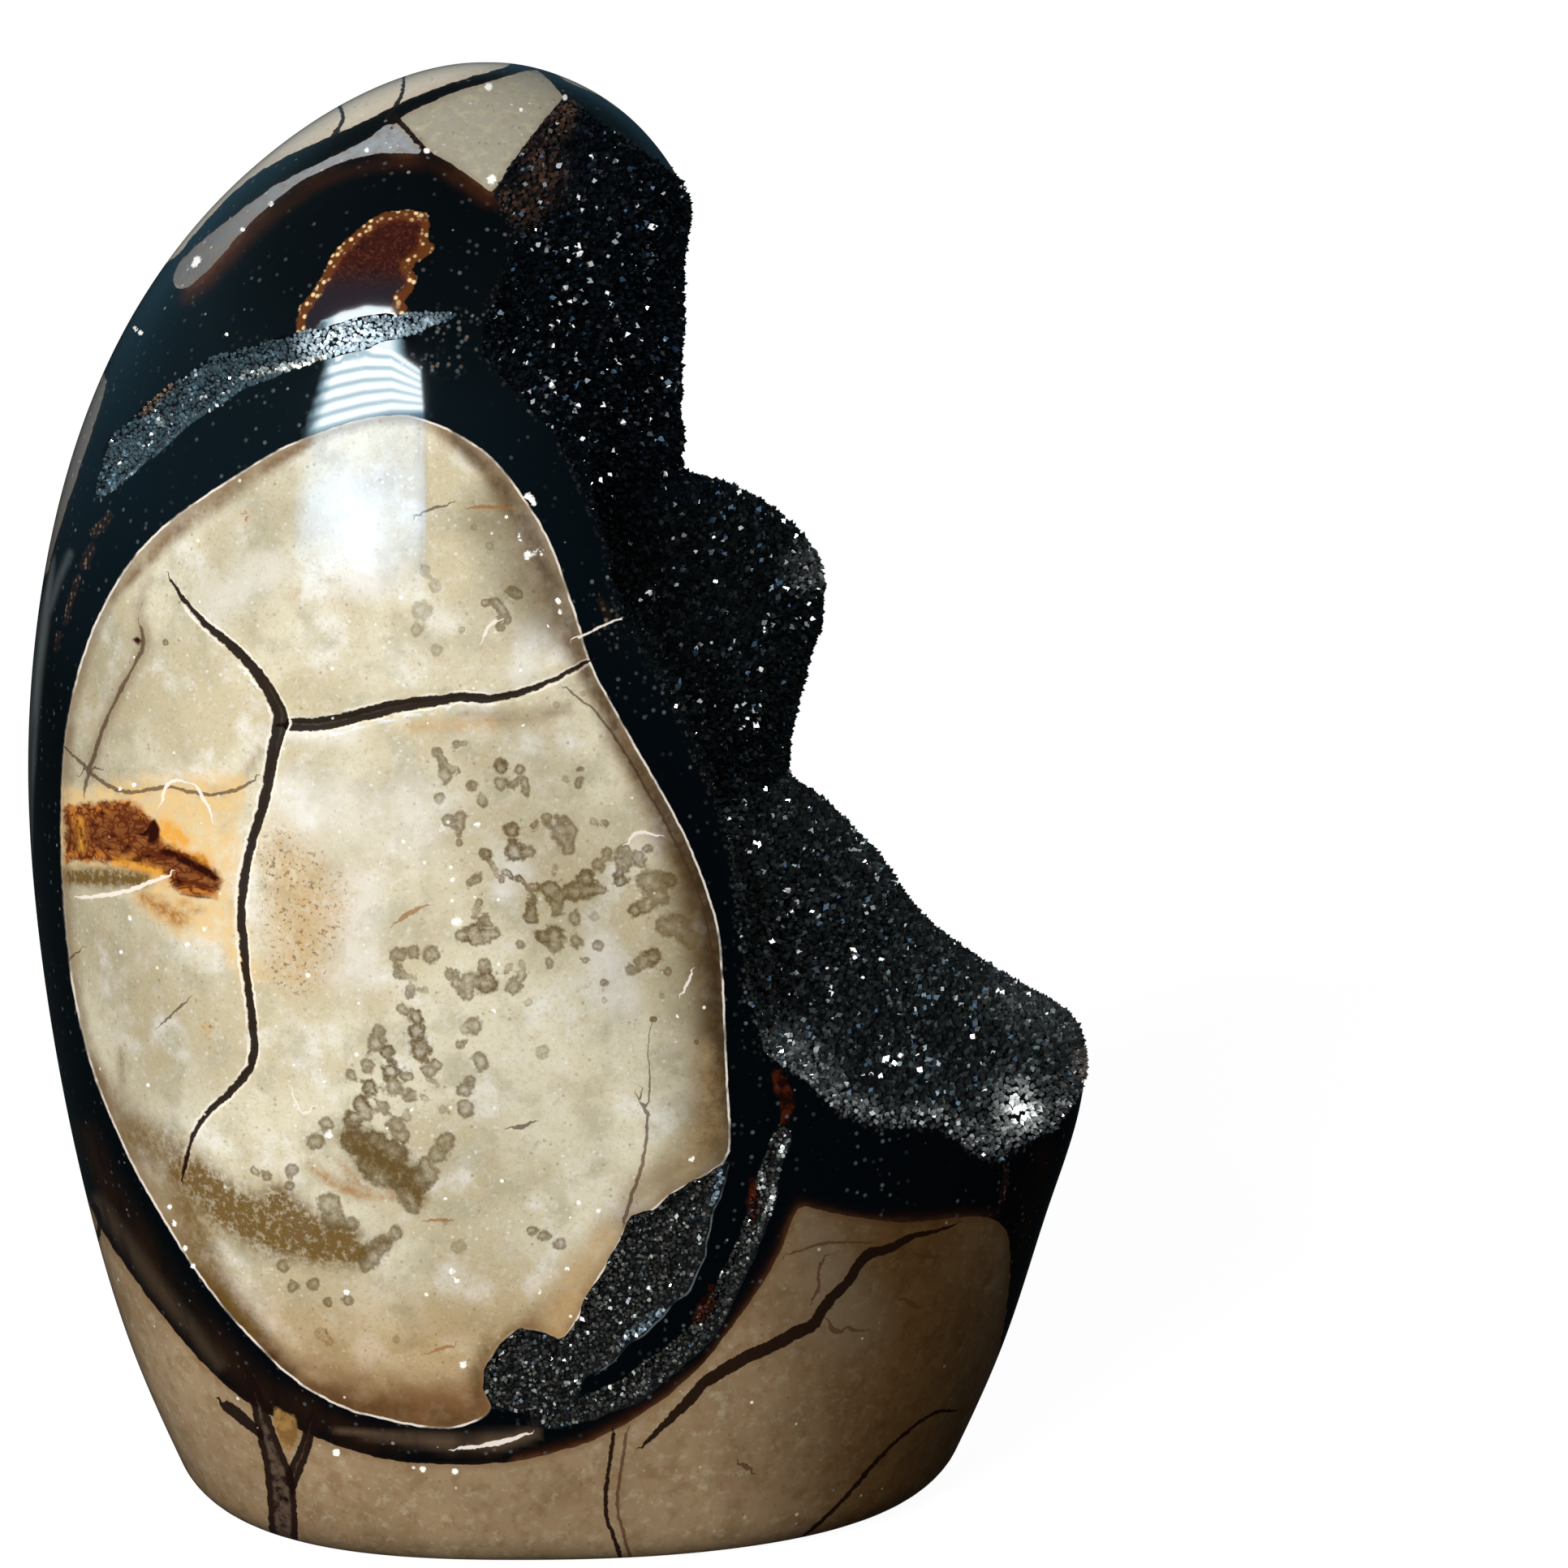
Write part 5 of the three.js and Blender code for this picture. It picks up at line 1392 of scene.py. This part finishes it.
druse = {
    "cubesInRow": 8192,  # more of the cubes that hold one crystal each than the stone spans
    "tries": 6,  # points tried for each square as wide as such a cube
    "width": 0.35,
    "steepness": (0.7, 1.4),
    "tilt": 0.36,
    "sunk": 0.45,  # share of a crystal's height that is under the surface
    # soft strokes that the grains follow, as in the drawing of the stone
    # painted light: crystals drawn lighter along the shelf's front edge, round the bright spot near its
    # right end, and on the lobe
    "light": [
        (1.0, [[950, 1316, 30], [1030, 1350, 30], [1094, 1380, 26], [1155, 1375, 28], [1201, 1405, 36],
               [1250, 1395, 50], [1300, 1370, 40], [1335, 1310, 24]]),
        (0.9, [[945, 1296, 46], [985, 1290, 50], [1020, 1330, 40]]), (1.0, [[1255, 1362, 80]]),
        (1.0, [[1256, 1364, 44]]), (0.4, [[1240, 1230, 60], [1300, 1270, 60]]), (1.0, [[996, 700, 50]])],
    "pale": [
        # pale beads along the upper band, and painted glints: the star on the shelf, a glint on the upper
        # band and sparkle chains in the lower bands
        (1.0, [[300, 463, 7], [345, 455, 8], [372, 451, 8], [400, 441, 8]]), (1.0, [[1256, 1366, 44]]),
        (1.0, [[198, 519, 8]]), (1.0, [[964, 1412, 7], [966, 1438, 8]]),
        (1.0, [[937, 1446, 6], [937, 1468, 7]]), (1.0, [[953, 1468, 7], [946, 1496, 8]]),
        (0.6, [[934, 1512, 7], [922, 1532, 6]])],
    # painted reflection: crystals of the upper band drawn silver where the polish mirrors the window
    "silver": [
        (1.0, [[392, 424, 44], [440, 412, 50], [484, 400, 44]]), (0.6, [[478, 400, 30], [530, 398, 30]])],
    # painted sheen: blue-grey crystals along the lower patch's edges and beside the window's reflection
    "blue": [
        (1.0, [[890, 1444, 10], [884, 1470, 9], [879, 1490, 6]]),
        (1.0, [[768, 1655, 12], [795, 1635, 14], [812, 1616, 8]]), (0.6, [[480, 396, 30], [520, 396, 20]])],
    "brown": [
        (1.0, [[178, 507, 13], [190, 490, 14], [208, 474, 12]]), (1.0, [[135, 638, 9], [118, 655, 9]]),
        (0.35, [[1326, 1300, 18], [1337, 1326, 14]]), (0.5, [[490, 430, 8], [520, 432, 8], [548, 428, 8]])],
    "rose": [
        (1.0, [[704, 124, 22], [686, 154, 34]]),
        (0.9, [[658, 184, 44], [668, 226, 52], [640, 262, 40], [622, 240, 26]])],
    "red": [
        (1.0, [[962, 1330, 12], [972, 1350, 12], [966, 1374, 10]]),
        (1.0, [[926, 1464, 12], [928, 1498, 12]]), (1.0, [[880, 1600, 10], [862, 1626, 11]])],
    # painted highlight: the bright star on the shelf's front edge
    "white": [(1.0, [[1253, 1367, 24]])],
    "bare": [(1.0, [[700, 92, 26], [745, 112, 32], [792, 142, 30], [826, 178, 22], [842, 214, 12]])],
    # painted glints, crystals coloured white: right and down
    "glints": [
        [728, 196], [787, 193], [778, 198], [806, 215], [710, 245], [784, 256], [816, 261], [713, 301],
        [698, 306], [710, 313], [727, 328], [786, 342], [786, 356], [696, 355], [701, 370], [782, 375],
        [748, 377], [744, 361], [690, 394], [706, 401], [679, 406], [775, 404], [682, 423], [786, 420],
        [709, 436], [770, 415], [597, 377], [815, 347], [828, 355], [718, 259], [734, 257], [800, 281],
        [763, 450], [814, 466], [822, 474], [812, 484], [832, 478], [684, 484], [680, 478], [742, 500],
        [768, 520], [800, 516], [802, 530], [716, 540], [752, 556], [790, 566], [816, 580], [735, 590],
        [881, 663], [876, 664], [886, 656], [897, 648], [901, 644], [972, 687], [996, 716], [990, 708],
        [999, 722], [943, 769], [941, 777], [934, 823], [986, 822], [799, 730], [930, 878], [928, 891],
        [915, 892], [922, 886], [935, 868], [905, 872], [922, 1052], [916, 992], [896, 1008], [973, 1129],
        [976, 1124], [966, 1100], [978, 1112], [971, 1096], [1009, 1132], [1000, 1124], [1048, 1171],
        [1050, 1180], [985, 1174], [1024, 1223], [1021, 1216], [1124, 1243], [1203, 1193], [1227, 1220],
        [1232, 1226], [1195, 1279], [1257, 1241], [1079, 1329], [1074, 1322], [1151, 1377], [1212, 1344],
        [1296, 1250], [1018, 1193], [948, 1159], [1266, 1228], [1085, 1184], [1106, 1220], [1174, 1166],
        [1062, 1358]],
    # tone and least brightness of the drawn strokes, in the order in which they are laid
    "tones": {
        "silver": ((190, 206, 216), 0.7), "blue": ((106, 124, 136), 0.35), "brown": ((110, 88, 72), 0.35),
        "rose": ((54, 38, 30), 0.35), "red": ((54, 19, 9), 0.35), "pale": ((206, 212, 208), 0.35),
        "white": ((250, 255, 252), 0.7)},
    "mostBrightness": 1.25,
    "paintedLightGain": (12, 28),  # least and mean grey levels that the light strokes add
    "frontDepth": 20,  # the drawn strokes reach crystals less deep than this
    "glintPatches": {"size": 8, "seed": 31, "gain": 2.5},
    "glintReach": 0.8,
    "glintTones": (0.7, 1.0),
    # each piece: its heights, grey level and its spread, tint, and share of painted glints
    "linings": [
        {"mask": lined, "spacing": 0.62, "sizes": (0.7, 1.3), "edgeSize": 0.7, "leastInward": -1,
         "glintSwell": 1.05, "seed": 21, "pieces": {
             "druse_upper_wall": (122, 999, 3, 4.5, (0.6, 0.9, 1.25), 0.002),
             "druse_lobe": (88, 122, 4, 5.5, (0.75, 1, 1.1), 0.0015),
             "druse_shelf": (-999, 88, 11, 10, (0.86, 1, 1.02), 0.003)}},
        {"mask": bedded, "spacing": 0.44, "sizes": (0.5, 0.9), "edgeSize": 1, "leastInward": 0.08,
         "glintSwell": 1, "seed": 25, "pieces": {
             "druse_upper_band": (100, 999, 52, 11, (0.78, 1, 1.1), 0.003),
             "druse_lower_bands": (-999, 100, 14, 22, (0.98, 1, 0.95), 0.006)}}],
}


def scattered(mask, spacing, seed):
    # random points on triangles, chosen by area, thinned to one for each small cube of space; with
    # each its normal and its distance from the edge
    rng = np.random.default_rng(seed)
    picked = triangles[mask]
    corner = points[picked]
    cross = np.cross(corner[:, 1] - corner[:, 0], corner[:, 2] - corner[:, 0])
    area = np.linalg.norm(cross, axis=1) / 2
    tries = int(area.sum() / spacing ** 2 * druse["tries"])
    face = rng.choice(len(area), tries, p=area / area.sum())
    u, v = rng.random(tries), rng.random(tries)
    u, v = np.where(u + v > 1, 1 - u, u), np.where(u + v > 1, 1 - v, v)
    share = np.stack([1 - u - v, u, v], -1)
    spot = (corner[face] * share[..., None]).sum(1)
    row = druse["cubesInRow"]
    cube = np.floor(spot / spacing).astype(np.int64) + row // 2
    _, keep = np.unique(cube @ np.array([row ** 2, row, 1]), return_index=True)
    normal = (cross / np.maximum(2 * area[:, None], 1e-12))[face[keep]]
    inward = (np.maximum(flatRim, flatRecess)[picked[face[keep]]] * share[keep]).sum(1)
    clear = soaked(druse["bare"], onSheet(spot[keep])) <= 0
    return spot[keep][clear], normal[clear], inward[clear]


def growCrystals(name, spot, normal, size, colour, seed):
    # rhombohedra that stand on one corner: three edges lean out evenly round the axis, and the eight
    # corners are the sums of some of them
    rng = np.random.default_rng(seed)
    count = len(spot)
    axis = normal + druse["tilt"] * rng.normal(size=(count, 3))
    axis /= np.linalg.norm(axis, axis=1, keepdims=True)
    aside = np.cross(axis, rng.normal(size=(count, 3)))
    aside /= np.linalg.norm(aside, axis=1, keepdims=True)
    third = np.cross(axis, aside)
    wide = druse["width"] * size
    tall = wide * rng.uniform(*druse["steepness"], count)
    turns = (np.arange(3) * 2 * math.pi / 3)[None, :, None]
    leaning = np.cos(turns) * aside[:, None] + np.sin(turns) * third[:, None]
    edges = wide[:, None, None] * leaning + tall[:, None, None] * axis[:, None]
    foot = spot - (3 * druse["sunk"] * tall)[:, None] * axis
    corners = foot[:, None] + np.einsum("pk,nkx->npx", cubeCorners, edges)
    squares = np.array([[0, 2, 3, 1], [4, 5, 7, 6], [0, 1, 5, 4], [2, 6, 7, 3], [0, 4, 6, 2], [1, 3, 7, 5]])
    faces = (np.arange(count)[:, None, None] * 8 + squares[None]).reshape(-1, 4)
    piece = meshFrom(name, corners.reshape(-1, 3), faces, [crystalMaterial], False)
    writeField(piece.data, "grain", np.repeat(colour, 8, 0))
    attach(piece, "root")
    print("druse:", name, count, "crystals")


def grainColours(spot, base, spread, tint, glints, seed):
    # grey levels with a long bright tail, tinted, then the drawn strokes with their painted light and
    # highlights, then a few painted glints: white crystals
    rng = np.random.default_rng(seed)
    count = len(spot)
    at = onSheet(spot)
    ahead = spot[:, 1:2] < druse["frontDepth"]
    # painted light: the light strokes brighten crystals near the front
    front = soaked(druse["light"], at)[:, None] * ahead
    grey = (base + spread * rng.exponential(1.0, count))[:, None]
    least, mean = druse["paintedLightGain"]
    seen = grey * np.array(tint) + front * (least + rng.exponential(mean, (count, 1)))
    for name, (tone, least) in druse["tones"].items():
        share = soaked(druse[name], at)[:, None] * ahead
        brightness = rng.uniform(least, druse["mostBrightness"], (count, 1))
        seen = seen * (1 - share) + share * np.array(tone) * brightness
    patches = druse["glintPatches"]
    patchy = ease(softNoise(spot, patches["size"], patches["seed"]), 0.0, 0.6)
    glinting = rng.random(count) < glints * patches["gain"] * patchy
    # the crystal nearest to each drawn glint, where one is near
    away = np.linalg.norm(fromCorner(druse["glints"])[:, None] - np.where(ahead, at, 999)[None], axis=-1)
    glinting[away.argmin(1)[away.min(1) < druse["glintReach"]]] = True
    white = 255 * rng.uniform(*druse["glintTones"], (count, 1))
    return linear(pin(np.where(glinting[:, None], white, seen), 0, 255)), glinting


print("druse: growing crystals")
crystalMaterial = druseCrystal()
for lining in druse["linings"]:
    seed = lining["seed"]
    spot, normal, inward = scattered(lining["mask"], lining["spacing"], seed)
    inner = inward > lining["leastInward"]
    spot, normal, inward = spot[inner], normal[inner], inward[inner]
    size = np.random.default_rng(seed + 1).uniform(*lining["sizes"], len(spot))
    size *= lining["edgeSize"] + (1 - lining["edgeSize"]) * ease(inward, 0, 2)
    for name, (low, high, base, spread, tint, glints) in lining["pieces"].items():
        part = (spot[:, 2] >= low) & (spot[:, 2] < high)
        colour, glinting = grainColours(spot[part], base, spread, tint, glints, seed + 2)
        grown = size[part] * np.where(glinting, lining["glintSwell"], 1)
        growCrystals(name, spot[part], normal[part], grown, colour, seed + 3)

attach(body, "root")
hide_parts("septarian_nodule")


print("stage: floor, lights and camera")
studio = {
    "floorSize": 6.0,
    "floorPaint": 0.12,  # the rest of its white is its own glow, so that shadows on it stay faint
    "floorGlow": 0.95,
    "ambient": (0.13, 0.135, 0.14),
    # what the polish mirrors from below, from the horizon and from above
    "mirrored": [
        (0.0, (0.005, 0.006, 0.006)), (0.45, (0.012, 0.018, 0.02)), (0.62, (0.06, 0.15, 0.21)),
        (0.76, (0.08, 0.17, 0.22)), (0.86, (0.05, 0.08, 0.09)), (1.0, (0.03, 0.045, 0.05))],
    "rightShare": 0.3,  # of that brightness on the right
    "suns": {
        # direction, strength, spread in degrees, colour
        "key": ((-0.42, -0.84, 0.33), 3.85, 24, (1, 0.985, 0.96)),
        "fill": ((0.5, 0.85, 0.3), 1.6, 40, (1, 1, 1)),
        "sparkle": ((0.3, -0.7, 0.65), 4.0, 3, (1, 1, 1))},
}
pane = {
    # the pane is bent so that the polish shows it as drawn here: right and down, from its top
    "shown": [
        [[386, 402], [420, 385], [452, 377], [482, 379], [504, 396]],
        [[398, 440], [424, 430], [452, 426], [482, 430], [518, 456]],
        [[366, 543], [406, 530], [445, 519], [482, 511], [522, 509]],
        [[346, 640], [396, 640], [442, 640], [484, 640], [524, 640]],
        [[348, 770], [398, 770], [442, 770], [484, 770], [524, 770]]],
    # the middle of that on the sheet, and how far from it the polish is followed, across and up
    "middle": (-24.5, 124.0),
    "reach": (12.0, 26.0),
    "scale": (10.0, 20.0),
    "leastFacing": 0.3,
    "distance": 2000.0,
    "rows": 57,
    "columns": 25,
    "slats": 6,
    "strength": 27.0,
}


def hide(thing, *rays):
    for ray in rays:
        setattr(thing, "visible_" + ray, False)


side = studio["floorSize"] / 2
floorMesh = bpy.data.meshes.new("floor")
floorCorners = [(-side, -side, 0), (side, -side, 0), (side, side, 0), (-side, side, 0)]
floorMesh.from_pydata(floorCorners, [], [(0, 1, 2, 3)])
floorMesh.materials.append(materialDesk("floorPaper").finish({
    "Base Color": (studio["floorPaint"],) * 3 + (1,), "Roughness": 1.0, "Specular IOR Level": 0.0,
    "Emission Color": (1, 1, 1, 1), "Emission Strength": studio["floorGlow"]}))
floorMesh.materials[0].cycles.emission_sampling = "NONE"  # its glow gives the stone no light
floor = bpy.data.objects.new("floor", floorMesh)
scene.collection.objects.link(floor)
hide(floor, "diffuse", "glossy")

# the surroundings: white to the eye, grey to dull surfaces, dark and bluish in the polish
scene.world = bpy.data.worlds.new("studio")
scene.world.cycles.sampling_method = "NONE"  # its light is even, so it needs no aimed rays
sky = Desk(scene.world)


def backdrop(colour, strength=1.0):
    return sky.add("ShaderNodeBackground", {"Color": colour, "Strength": strength}).outputs[0]


across, _, up = sky.add("ShaderNodeSeparateXYZ", {0: sky.where["Generated"]}).outputs
level = sky.add("ShaderNodeMapRange", {"Value": up, "From Min": -1.0}).outputs[0]
ramp = sky.add("ShaderNodeValToRGB", {0: level})
while len(ramp.color_ramp.elements) < len(studio["mirrored"]):
    ramp.color_ramp.elements.new(0.5)
for element, (place, colour) in zip(ramp.color_ramp.elements, studio["mirrored"]):
    element.position = place
    element.color = (*colour, 1)
ends = {"Value": across, "From Min": -0.5, "From Max": 0.4, "To Min": 1.0, "To Max": studio["rightShare"]}
fromLeft = sky.add("ShaderNodeMapRange", ends).outputs[0]
rays = sky.add("ShaderNodeLightPath").outputs
shown = backdrop((*studio["ambient"], 1))
for ray, seen in (("Glossy", backdrop(ramp.outputs[0], fromLeft)), ("Camera", backdrop((1, 1, 1, 1)))):
    shown = sky.add("ShaderNodeMixShader", {0: rays["Is " + ray + " Ray"], 1: shown, 2: seen}).outputs[0]
sky.add("ShaderNodeOutputWorld", {"Surface": shown})

# the sparkle is a small light that makes the crystals glint and leaves the polish alone
druseOnly = bpy.data.collections.new("druseOnly")
for piece in scene.objects:
    if piece.name.startswith("druse"):
        druseOnly.objects.link(piece)
for name, (direction, strength, spread, colour) in studio["suns"].items():
    light = bpy.data.lights.new(name, "SUN")
    light.energy = strength
    light.angle = math.radians(spread)
    light.color = colour
    lamp = bpy.data.objects.new(name, light)
    lamp.rotation_euler = Vector(direction).to_track_quat("Z", "Y").to_euler()
    scene.collection.objects.link(lamp)
    if name == "sparkle":
        lamp.light_linking.receiver_collection = druseOnly
    else:
        hide(lamp, "glossy")

# a tall window with a blind half way up, seen only in the polish: where the polish shows it, the
# lines from the eye are bounced off the hull and followed out to the pane
mirroring = (facing > pane["leastFacing"]) & (np.abs(sheet - pane["middle"]) < pane["reach"]).all(-1)
towards = np.array(sight["aim"]) + sight["distance"] * toEye - hull[mirroring]
towards /= np.linalg.norm(towards, axis=1, keepdims=True)
normals = hullNormals[mirroring]
bounced = 2 * (normals * towards).sum(1, keepdims=True) * normals - towards
reached = hull[mirroring] + pane["distance"] * bounced


def powers(points):
    # all products of powers of the two coordinates up to the fourth
    a, b = np.moveaxis((points - pane["middle"]) / pane["scale"], -1, 0)
    return np.stack([a ** i * b ** j for i in range(5) for j in range(5 - i)], -1)


def weights(places):
    # of the drawn rows or columns at places between them
    return pin(1 - np.abs(places[:, None] - np.arange(5)))


bend = np.linalg.lstsq(powers(sheet[mirroring]), reached, rcond=None)[0]
upRows, acrossRows = np.linspace(0, 4, pane["rows"]), np.linspace(0, 4, pane["columns"])
# rows and columns between the drawn ones, each a weighted mean of its two neighbours
paneMarks = np.einsum("ur,ac,rck->uak", weights(upRows), weights(acrossRows), np.array(pane["shown"], float))
paneSpots = powers(fromCorner(paneMarks.reshape(-1, 2))) @ bend
number = np.arange(len(paneSpots)).reshape(len(upRows), len(acrossRows))
corners = [number[:-1, :-1], number[1:, :-1], number[1:, 1:], number[:-1, 1:]]
window = meshFrom("window", paneSpots, np.stack(corners, -1).reshape(-1, 4), [], False)
writeField(window.data, "across", np.tile(acrossRows / 4, len(upRows)))
writeField(window.data, "downward", np.repeat(upRows, len(acrossRows)))

desk = materialDesk("windowPane")
downward, sideways = desk.read("downward"), desk.read("across")
slat = desk.calc("SINE", desk.times(downward, 2 * math.pi * pane["slats"]))
blind = desk.rise(slat, -0.8, 0.1, 0.42, 1.0)
inBlind = desk.times(desk.rise(downward, 0.98, 1.02), desk.rise(downward, 2.0, 1.97))
glow = desk.times(desk.rise(downward, 2.0, 2.8, 0.22, 0.32), desk.rise(downward, 3.9, 2.9))
glow = desk.times(glow, desk.plus(desk.times(desk.noise(90, 4, 0.6, 0.3), 0.7), 0.65))
glow = desk.blend(inBlind, glow, blind)
glow = desk.blend(desk.rise(downward, 1.0, 0.98), glow, desk.rise(sideways, 0.9, 0.72, 0.0, 0.8))
frayed = desk.wavering(sideways, desk.noise(60, 4, 0.7), 0.16)
glow = desk.times(glow, desk.calc("POWER", desk.rise(frayed, 0.0, 0.2), 1.3))
tint = desk.over(desk.rise(glow, 0.3, 0.85), (0.55, 0.85, 1, 1), (0.88, 0.97, 1, 1))
tint = desk.over(desk.rise(downward, 1.98, 2.02), tint, (0.3, 0.6, 1, 1))
shine = desk.add("ShaderNodeEmission", {"Color": tint, "Strength": desk.times(glow, pane["strength"])})
desk.add("ShaderNodeOutputMaterial", {"Surface": shine.outputs[0]})
desk.owner.cycles.emission_sampling = "NONE"
window.data.materials.append(desk.owner)
hide(window, "camera", "diffuse", "shadow", "transmission")

camera = bpy.data.cameras.new("camera")
camera.sensor_width = 36
camera.lens = camera.sensor_width * sight["distance"] / sight["frameWidth"]
camera.clip_start, camera.clip_end = 0.05, 20
eye = bpy.data.objects.new("camera", camera)
back = Vector(toEye)
eye.location = Vector(sight["aim"]) * mm + back * sight["distance"] * mm
eye.rotation_euler = (-back).to_track_quat("-Z", "Y").to_euler()
scene.collection.objects.link(eye)
scene.camera = eye
scene.view_settings.view_transform = "Standard"
